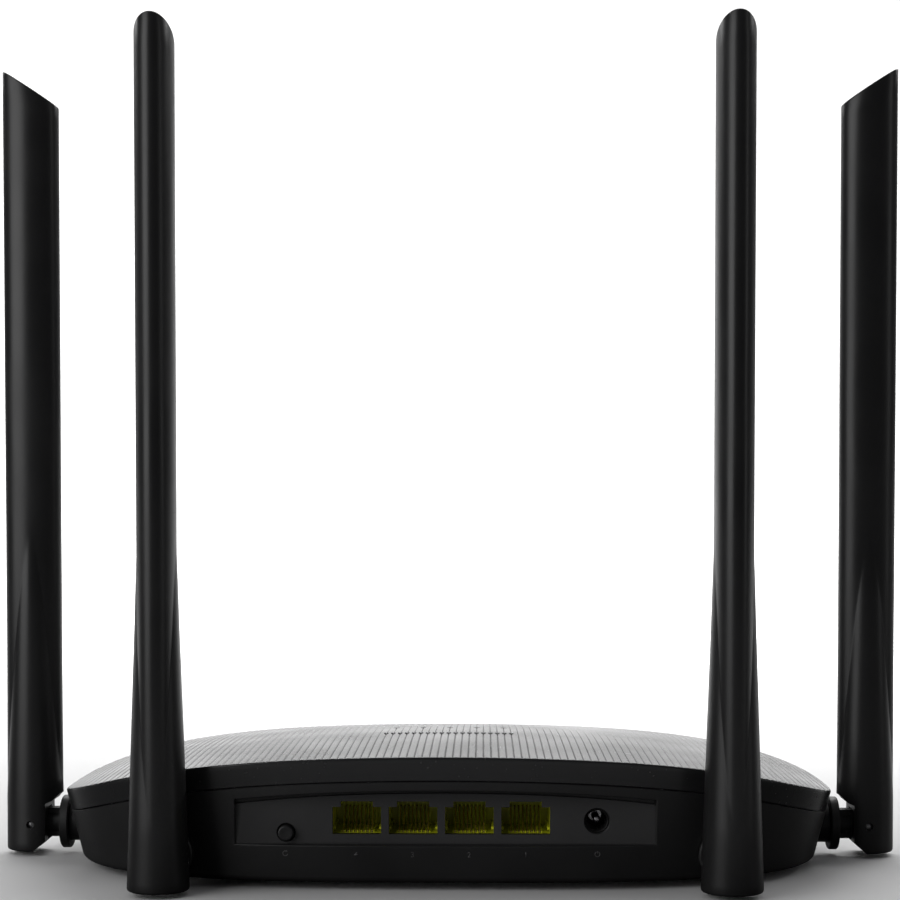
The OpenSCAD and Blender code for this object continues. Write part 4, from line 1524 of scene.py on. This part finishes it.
@dataclass
class Antenna:
    """One blade antenna: a sleeve that flares into a round foot, its knuckle and its pin.

    Own frame: U towards the case, V along the hinge pin, W up from the pin.
    """

    length: float = 212.4
    pin_rise: float = 7.4
    blade_u: float = 7.6
    blade_v: float = 4.85
    foot_u: float = 7.65
    foot_v: float = 7.7
    flare_start: float = 15.5
    flare_end: float = 84.5
    tip_slope: float = 0.65
    tip_round: float = 0.5
    foot_round: float = 0.7
    wall: float = 1.6
    crease_soft: float = 0.09
    quarter_cols: int = 16
    slot_half: float = 2.5
    hub_r: float = 3.9
    pin_r: float = 1.0

    def flare(self, w: np.ndarray) -> tuple[np.ndarray, np.ndarray]:
        """Returns the flare's two half sizes at height w: U keeps its size to the flare's start and then
        falls to the blade's thickness; V falls evenly all the way."""
        run = np.clip((w - self.flare_start) / (self.flare_end - self.flare_start), 0, 1.3)
        u = self.foot_u - (self.foot_u - self.blade_v) * run
        v = self.foot_v - (self.foot_v - self.blade_v) * w / self.flare_end
        return u, v

    def crease_angle(self, w: np.ndarray) -> np.ndarray:
        """Returns the angle at which blade and flare cross at height w, held off both axes, and easing
        back to an even spread above the flare."""
        u, v = self.flare(w)
        above = 1 / np.minimum(u, self.blade_u - 1e-4) ** 2 - 1 / self.blade_u ** 2
        beside = 1 / self.blade_v ** 2 - 1 / np.maximum(v, self.blade_v + 1e-3) ** 2
        angle = np.arctan(np.sqrt(above / beside))
        angle = np.clip(angle, math.radians(5), math.radians(84))
        ease = smooth_step((w - self.flare_end) / 45)
        early = smooth_step(1 - w / self.flare_start)
        angle = angle + (math.radians(45) - angle) * ease
        return angle + (math.radians(30) - angle) * early * 0.5

    def section(self, w: np.ndarray) -> tuple[np.ndarray, np.ndarray]:
        """Returns U and V of the sleeve's outline at heights w, rows x columns.

        The outline is the larger of two ellipses, the blade and the flare, with the change from one
        to the other slightly softened; columns gather on the crease where they cross.
        """
        n = self.quarter_cols
        crease = self.crease_angle(w)[:, None]
        near = np.linspace(0, 1, n, endpoint=False)[None, :]
        eased = 1 - (1 - near) ** 1.6
        first = crease * eased
        second = crease + (math.pi / 2 - crease) * near ** 1.4
        quarter = np.concatenate([first, second], 1)
        mirrored = math.pi - np.concatenate([quarter[:, 1:], np.full((len(w), 1), math.pi / 2)], 1)[:, ::-1]
        half = np.concatenate([quarter, mirrored], 1)
        t = np.concatenate([half, half + math.pi], 1)
        fu, fv = self.flare(w)
        c2, s2 = np.cos(t) ** 2, np.sin(t) ** 2
        blade = 1 / np.sqrt(c2 / self.blade_u ** 2 + s2 / self.blade_v ** 2)
        foot = 1 / np.sqrt(c2 / fu[:, None] ** 2 + s2 / fv[:, None] ** 2)
        soft = self.crease_soft * (w[:, None] < self.flare_end + 12)
        gap = np.abs(blade - foot)
        r = np.maximum(blade, foot) + np.maximum(0, soft - gap) ** 2 / (4 * np.maximum(soft, 1e-6))
        return r * np.cos(t), r * np.sin(t)

    def level(self, u: np.ndarray, v: np.ndarray, scale: float, w: np.ndarray | float) -> np.ndarray:
        """Returns a ring of the points (u, v), scaled about the axis, at height w."""
        return np.stack([u * scale, v * scale, 0 * u + w], 1)

    def sleeve(self) -> Shell:
        """Works out the sleeve with its eased foot, its slanted tip and the cavity inside.

        Returns:
            The closed surface in the hinge's own frame.
        """
        w_low = np.concatenate([np.linspace(self.foot_round, 20, 12), np.linspace(22, 100, 66),
                                np.linspace(106, 190, 12)])
        u, v = self.section(w_low)
        ease_in = np.radians([12, 35, 60, 90])
        scale0 = 1 - self.foot_round * (1 - np.sin(ease_in)) / self.foot_u
        rings = [self.level(u[0], v[0], k, self.foot_round * (1 - math.cos(a))) for k, a in zip(scale0, ease_in)]
        foot_face = [self.level(u[0], v[0], k, 0.0) for k in (0.0, 0.5)]
        body = [self.level(u[i], v[i], 1.0, w_low[i]) for i in range(1, len(w_low))]
        tip_u, tip_v = u[-1], v[-1]
        top = self.length - self.tip_slope * (tip_u + self.blade_u)
        r = self.tip_round
        tips = [self.level(tip_u, tip_v, 1.0, w_low[-1] + (top - r - w_low[-1]) * k) for k in (0.35, 0.7, 1.0)]
        edge = [(1 - r * (1 - math.cos(a)) / self.blade_v, r * (1 - math.sin(a)))
                for a in np.radians([25, 50, 75, 90])]
        for k, sunk in edge + [(0.6, 0.0), (0.25, 0.0), (0.0, 0.0)]:
            lift = self.length - self.tip_slope * (tip_u * k + self.blade_u)
            tips.append(self.level(tip_u, tip_v, k, lift - sunk))
        outer = grid(np.stack(foot_face + rings + body + tips), True).outward()
        t = np.arange(40) * TURN / 40
        spans = [(19.4, 0.0), (19.4, 1.0), (self.length - 16, 1.0), (self.length - 14, 0.7), (self.length - 13, 0.0)]
        wide, deep = self.blade_u - self.wall, self.blade_v - self.wall
        hollow = [np.stack([wide * k * np.cos(t), deep * k * np.sin(t), 0 * t + w], 1) for w, k in spans]
        return joined(outer, grid(np.stack(hollow), True).inward()).shifted((0, 0, -self.pin_rise))

    def fork_tools(self) -> list[Shell]:
        """Returns what is cut from the foot: the tongue's slot, the ears' relief, the pin's hole and the
        lead's bore."""
        r = self.hub_r + 0.4
        s = self.slot_half
        t = np.linspace(0, math.pi, 33)
        arch = [(r * math.cos(a), r * math.sin(a)) for a in t]
        line = [(r + 20, -12.0), (r + 20, 0.0)] + arch + [(-r, -12.0)]
        slot = tube(np.array([[(u, v, w) for u, w in line] for v in (-s, s)]))
        wide = tube(np.array([[(u, v, w) for u, w in ((0, -13.0), (r + 21, -13.0), (r + 21, r), (0, r))]
                              for v in (-s, s)]))
        reach = self.foot_v + 1
        side = [(0.6, -8.4), (0.6, -7.4), (3.9, -4.6), (3.9, 5.6), (5.5, 6.2), (7.3, 8.1), (reach + 3, 8.1),
                (reach + 3, -8.4)]
        ears = tube(np.array([[(u, v, w) for u, w in side] for v in (-reach, reach)]))
        hole = turned([(self.pin_r + 0.35, -9.0), (self.pin_r, -6.9), (self.pin_r, 6.9), (self.pin_r + 0.35, 9.0)],
                      Axis.ALONG_Y, (0, 0, 0), 32)
        bore = turned([(2.0, 2.0), (2.0, 15.0)], Axis.ALONG_Z, (0, 0, 0), 32)
        return [slot, wide, ears, hole, bore]

    def knuckle(self, boss_len: float) -> Shell:
        """Works out the turned part of the knuckle: flange with eased rims, and stub with its clip groove."""
        stub_end = 7.7 + 2.4 + 0.1 + boss_len + 0.1 + 1.0 + 0.6
        groove = stub_end - 1.6
        profile = [(0.0, 3.2), (3.4, 3.2), (3.4, 7.7), (6.9, 7.7), (7.2, 8.0), (7.2, 9.8), (6.9, 10.1), (4.0, 10.1),
                   (4.0, groove), (3.3, groove), (3.3, groove + 1.0), (4.0, groove + 1.0), (4.0, stub_end - 0.4),
                   (3.7, stub_end), (0.0, stub_end)]
        return turned(profile, Axis.ALONG_X, (0, 0, 0), 64)

    def tongue(self) -> Shell:
        """Works out the tongue: a slab with a round end about the pin, its edges eased."""
        rings = []
        for v, inset in ((-2.3, 0.3), (-2.0, 0.0), (2.0, 0.0), (2.3, 0.3)):
            r = self.hub_r - inset
            t = np.linspace(math.pi / 2, 3 * math.pi / 2, 33)
            line = np.stack([r * np.cos(t), np.full(33, v), r * np.sin(t)], 1)
            ends = np.array([(8.4, v, -r), (8.4, v, r)])
            rings.append(np.concatenate([line, ends]))
        return tube(np.stack(rings))

    def patterns(self) -> dict[str, bpy.types.Object]:
        """Builds the sleeve, the pin and both knuckles once, in the hinge's own frame.

        Returns:
            The pattern objects by name.
        """
        sleeve = piece("sleeve_pattern", self.sleeve(), "case", 32)
        combine(sleeve, joined(*self.fork_tools()), "DIFFERENCE", 32)
        made = {"sleeve": sleeve}
        pin = [(0.0, -6.4), (0.7, -6.4), (1.0, -6.15), (1.0, 6.15), (0.7, 6.4), (0.0, 6.4)]
        made["pin"] = piece("pin_pattern", turned(pin, Axis.ALONG_Y, (0, 0, 0), 32), "case", 40)
        for boss_len in (8.2, 9.6):
            knuckle = piece("knuckle_pattern", self.knuckle(boss_len), "case", 32)
            combine(knuckle, self.tongue(), "UNION", 32)
            bores = joined(turned([(1.04, -3.5), (1.04, 3.5)], Axis.ALONG_Y, (0, 0, 0), 32),
                           turned([(1.2, 4.6), (1.2, 34.0)], Axis.ALONG_X, (0, 0, 0), 32))
            combine(knuckle, bores, "DIFFERENCE", 32)
            made[f"knuckle_{boss_len}"] = knuckle
        return made

    def build(self, made: dict[str, bpy.types.Object], place: Place) -> list[bpy.types.Object]:
        """Puts one antenna together at its place.

        Args:
            made: the pattern objects.
            place: which of the four.
        Returns:
            Sleeve, pin and knuckle.
        """
        name, turn, boss_len = place.value
        joint = next(j for j in frame["joints"] if j["name"] == f"{name}_tilt")
        spot = np.array(joint["pos_m"]) / MM
        sleeve = twin(made["sleeve"], f"{name}_antenna_sleeve", f"{name}_antenna", turn, spot)
        pin = twin(made["pin"], f"{name}_antenna_pin", f"{name}_antenna", turn, spot)
        knuckle = twin(made[f"knuckle_{boss_len}"], f"{name}_turning_knuckle", f"{name}_knuckle", turn, spot)
        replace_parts(sleeve, f"{name}_sleeve")
        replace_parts(pin, f"{name}_hinge_pin")
        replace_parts(knuckle, f"{name}_knuckle")
        return [sleeve, pin, knuckle]

    def dress(self, made: list[bpy.types.Object], place: Place) -> None:
        """Gives the antenna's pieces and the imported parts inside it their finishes."""
        for obj, finish in zip(made, (Finish.ANTENNA, Finish.STEEL, Finish.HINGE)):
            finish.coat(obj)
        name = place.value[0]
        for part, finish in (("radiator", Finish.BOARD), ("feed_lead", Finish.JACKET), ("case_lead", Finish.JACKET),
                             ("retaining_clip", Finish.STEEL)):
            finish.coat(frame["nodes"][f"{name}_{part}"])


# ---------- underside and inside ----------

@dataclass
class Underside:
    """Rubber feet with eased rims, cross-head screws and the blank rating film."""

    form: CaseForm
    foot_r: float = 6.0
    foot_top: float = 2.6
    head_r: float = 2.8

    def foot(self, x: float, y: float) -> Shell:
        """Returns one rubber foot, its rim a quarter circle and a shallow ring in its face."""
        r, top = self.foot_r, self.foot_top
        profile = [(0.0, 0.12), (r * 0.62, 0.12), (r * 0.66, 0.0), (r - 0.6, 0.0), (r - 0.18, 0.18), (r, 0.6),
                   (r, top), (0.0, top)]
        return turned(profile, Axis.ALONG_Z, (x, y, 0), 56)

    def screw(self, x: float, y: float, face: float, shank: float, up: float) -> Shell:
        """Works out a cross-head screw: a low dome less a cross that deepens to its middle, and a
        threaded shank whose radius swells and shrinks along its length.

        Args:
            x: X of its axis.
            y: Y of its axis.
            face: height of the head's outer rim.
            shank: length from the face to the point.
            up: 1 when the shank points up, -1 when it points down.
        Returns:
            The closed surface.
        """
        t = np.arange(64) * TURN / 64
        r = np.concatenate([[0.0], np.linspace(0.12, self.head_r, 20)])
        rr, tt = np.meshgrid(r, t, indexing="ij")
        across = np.minimum(np.abs(rr * np.cos(tt)), np.abs(rr * np.sin(tt)))
        cross = smooth_step((0.42 - across) / 0.12) * smooth_step((1.75 - rr) / 0.25)
        dome = 0.35 * (1 - (rr / self.head_r) ** 2)
        height = -dome + cross * (0.9 + 0.3 * (1 - rr / 1.75))
        head = np.stack([rr * np.cos(tt), rr * np.sin(tt), height], 2)
        run = np.linspace(1.6, shank, 40)
        thread = 1.2 + 0.1 * np.sin(run * TURN / 0.9)
        thread[-4:] *= np.array([0.9, 0.7, 0.4, 0.0])
        body = [(self.head_r, 1.5), (thread[0], 1.55)] + list(zip(thread, run))
        q, d = np.array(body).T
        rest = np.stack([q[:, None] * np.cos(t), q[:, None] * np.sin(t), d[:, None] + 0 * t], 2)
        p = np.concatenate([head, rest])
        p[..., 2] = face + up * p[..., 2]
        return grid(p + np.array([x, y, 0]), True).outward()

    def build(self) -> list[bpy.types.Object]:
        """Builds feet, case screws, board screws and the film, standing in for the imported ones.

        Returns:
            The four new pieces.
        """
        f = self.form
        feet = joined(*[self.foot(x, f.mid_y + d) for x, d in FEET])
        case = joined(*[self.screw(x, f.mid_y + d, f.foot + 0.75, 10.6, 1) for x, d in CASE_SCREWS])
        board = joined(*[self.screw(x, f.rear_y + s, 13.0, 7.0, -1) for x, s in BOARD_SCREWS])
        film = block((-34.8, f.rear_y + 18.2, f.foot), (34.8, f.rear_y + 45.8, f.foot + 0.2), 0.06)
        made = [piece("rubber_pads", feet, "case", 35), piece("case_fixing_screws", case, "case", 30),
                piece("board_fixing_screws", board, "case", 30), piece("blank_rating_film", film, "case", 30)]
        for obj, node in zip(made, ("rubber_feet", "case_screws", "board_screws", "rating_label")):
            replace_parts(obj, node)
        return made

    def dress(self, made: list[bpy.types.Object]) -> None:
        """Gives rubber, zinc plate and silver film to the pieces."""
        for obj, finish in zip(made, (Finish.RUBBER, Finish.STEEL, Finish.STEEL, Finish.FILM)):
            finish.coat(obj)


class Electronics:
    """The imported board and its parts, which keep their shapes and get their finishes."""

    def dress(self) -> None:
        """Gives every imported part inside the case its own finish."""
        finishes = {
            "main_board": Finish.BOARD, "reset_switch": Finish.BLACK, "main_processor": Finish.RESIN,
            "thermal_pad": Finish.PAD, "heat_sink": Finish.ALUMINIUM, "memory_chip": Finish.RESIN,
            "flash_chip": Finish.RESIN, "radio_chips": Finish.RESIN, "radio_shields": Finish.TIN,
            "lan_transformers": Finish.RESIN, "capacitors": Finish.CAN, "inductors": Finish.FERRITE,
            "crystals": Finish.TIN, "coax_terminals": Finish.GOLD, "status_leds": Finish.LAMP,
            "light_guide": Finish.CLEAR}
        for node, finish in finishes.items():
            finish.coat(frame["nodes"][node])


# ---------- studio ----------

@dataclass
class Studio:
    """A pale sweep of floor and backdrop, soft lights and the camera."""

    floor_white: float = 0.82
    painted_shade_bounce: float = 0.05
    painted_light_bounce: float = 0.6
    bounce_far: float = 0.53
    half_width: float = 3.0
    near_y: float = -3.0
    bend_y: float = 1.5
    bend_r: float = 0.6
    top_z: float = 2.6

    def sweep(self) -> bpy.types.Object:
        """Builds the floor: flat, then a quarter circle up into an upright backdrop."""
        t = np.linspace(0, math.pi / 2, 24)
        y = np.concatenate([[self.near_y, -0.5, 0.5], self.bend_y + self.bend_r * np.sin(t), [self.bend_y + self.bend_r]])
        z = np.concatenate([[0, 0, 0], self.bend_r * (1 - np.cos(t)), [self.top_z]])
        x = np.linspace(-self.half_width, self.half_width, 9)
        p = np.stack(np.broadcast_arrays(x[None, :], y[:, None], z[:, None]), 2) / MM
        shell = grid(p)
        mesh = bpy.data.meshes.new("studio_sweep")
        mesh.from_pydata((shell.points * MM).tolist(), [], shell.faces[0].tolist())
        soften(mesh, 60)
        obj = bpy.data.objects.new("studio_sweep", mesh)
        bpy.context.scene.collection.objects.link(obj)
        material, board, shader = new_material("studio_paper")
        place = board.add("ShaderNodeTexCoord").outputs["Object"]
        tone = board.spread(board.noise(place, 6.0, 2.0), 0.3, 0.7, self.floor_white - 0.01, self.floor_white + 0.01)
        parts = board.add("ShaderNodeSeparateXYZ")
        board.join(place, parts.inputs[0])
        # Light that bounces off the floor meets a painted colour while the eye sees the even tone: painted shade far
        # in front of the case and close in front of it, where its shadow falls, and a painted pool of light in the
        # band between them.
        front = board.spread(parts.outputs["Y"], -0.5, -0.34, self.painted_shade_bounce, self.painted_light_bounce)
        shade = board.spread(parts.outputs["Y"], -0.17, -0.09, self.painted_light_bounce, self.painted_shade_bounce)
        behind = board.spread(parts.outputs["Y"], -0.08, 0.3, self.painted_shade_bounce, self.bounce_far)
        bounce = board.maths("MAXIMUM", board.maths("MINIMUM", front, shade), behind)
        seen = board.add("ShaderNodeLightPath").outputs["Is Camera Ray"]
        board.join(board.blend(seen, bounce, tone), shader.inputs["Base Color"])
        shader.inputs["Roughness"].default_value = 0.7
        shader.inputs["Specular IOR Level"].default_value = 0.2
        obj.data.materials.append(material)
        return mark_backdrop(obj)

    def soft_light(self, name: str, spot: Point, aim: Point,
                   size: tuple[float, float], power: float) -> None:
        """Adds a soft rectangular light.

        Args:
            name: its name.
            spot: where it stands, in metres.
            aim: the point it faces.
            size: width and height.
            power: watts.
        """
        data = bpy.data.lights.new(name, "AREA")
        data.shape = "RECTANGLE"
        data.size, data.size_y = size
        data.energy = power
        lamp = bpy.data.objects.new(name, data)
        bpy.context.scene.collection.objects.link(lamp)
        lamp.location = spot
        lamp.rotation_euler = (Vector(aim) - Vector(spot)).to_track_quat("-Z", "Y").to_euler()
        lamp.visible_camera = False

    def world(self) -> None:
        """Sets the surroundings: white to the eye, dim to the object, so that black plastic stays deep."""
        world = bpy.data.worlds.new("studio_air")
        world.use_nodes = True
        bpy.context.scene.world = world
        board = NodeBoard(world.node_tree)
        shader = world.node_tree.nodes["Background"]
        seen = board.add("ShaderNodeLightPath").outputs["Is Camera Ray"]
        board.join(board.blend(seen, (0.055, 0.055, 0.058), (1.0, 1.0, 1.0)), shader.inputs["Color"])

    def camera(self) -> None:
        """Sets the camera at the eye's place: a little above the lid, slightly right of the middle."""
        data = bpy.data.cameras.new("eye")
        data.lens = 81.8
        data.sensor_width = 36.0
        data.shift_y = 0.14
        data.clip_start = 0.01
        obj = bpy.data.objects.new("eye", data)
        bpy.context.scene.collection.objects.link(obj)
        obj.location = (0.0094, -0.5568, 0.0957)
        obj.rotation_euler = (math.radians(88.0), 0.0, math.radians(0.93))
        bpy.context.scene.camera = obj

    def build(self) -> None:
        """Builds the studio."""
        bpy.context.scene.view_settings.view_transform = "Standard"
        self.sweep()
        self.world()
        self.camera()
        self.soft_light("backdrop_glow", (-0.15, 0.95, 0.75), (-0.1, 1.25, 0.0), (3.0, 0.5), 60)
        self.soft_light("left_soft_box", (-0.82, -0.68, 0.45), (0.0, 0.0, 0.12), (0.8, 0.9), 5.0)
        self.soft_light("right_soft_box", (1.1, -0.35, 0.45), (0.0, 0.0, 0.12), (0.2, 0.9), 0.5)
        self.soft_light("top_soft_box", (0.0, 0.1, 1.1), (0.0, 0.0, 0.0), (1.2, 0.6), 1.5)


# ---------- assembly ----------


def report(name: str, objects: list[bpy.types.Object]) -> None:
    """Logs each piece of a sub-assembly with its number of faces."""
    for obj in objects:
        log.info("%s: %s, %d faces", name, obj.name, len(obj.data.polygons))


def main() -> None:
    logging.basicConfig(level=logging.INFO, format="%(message)s")
    Studio().build()
    form = CaseForm(rear_y=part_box("top_cover")[0].y / MM)
    lid = Lid(form)
    lid_piece = lid.build()
    lid.dress(lid_piece)
    report("lid", [lid_piece])
    lower = LowerCase(form)
    lower_piece = lower.build()
    lower.dress(lower_piece)
    report("lower case", [lower_piece])
    for part in (PanelPrint(form, lower), NetworkSockets(form, lower), PowerInlet(form), ResetKey(form),
                 Underside(form)):
        made = part.build()
        part.dress(made)
        report(type(part).__name__, made if isinstance(made, list) else [made])
    antenna = Antenna()
    made = antenna.patterns()
    for place in Place:
        pieces = antenna.build(made, place)
        antenna.dress(pieces, place)
        report(place.value[0], pieces)
    for pattern in made.values():
        bpy.data.objects.remove(pattern)
    Electronics().dress()


if __name__ == "__main__":
    main()
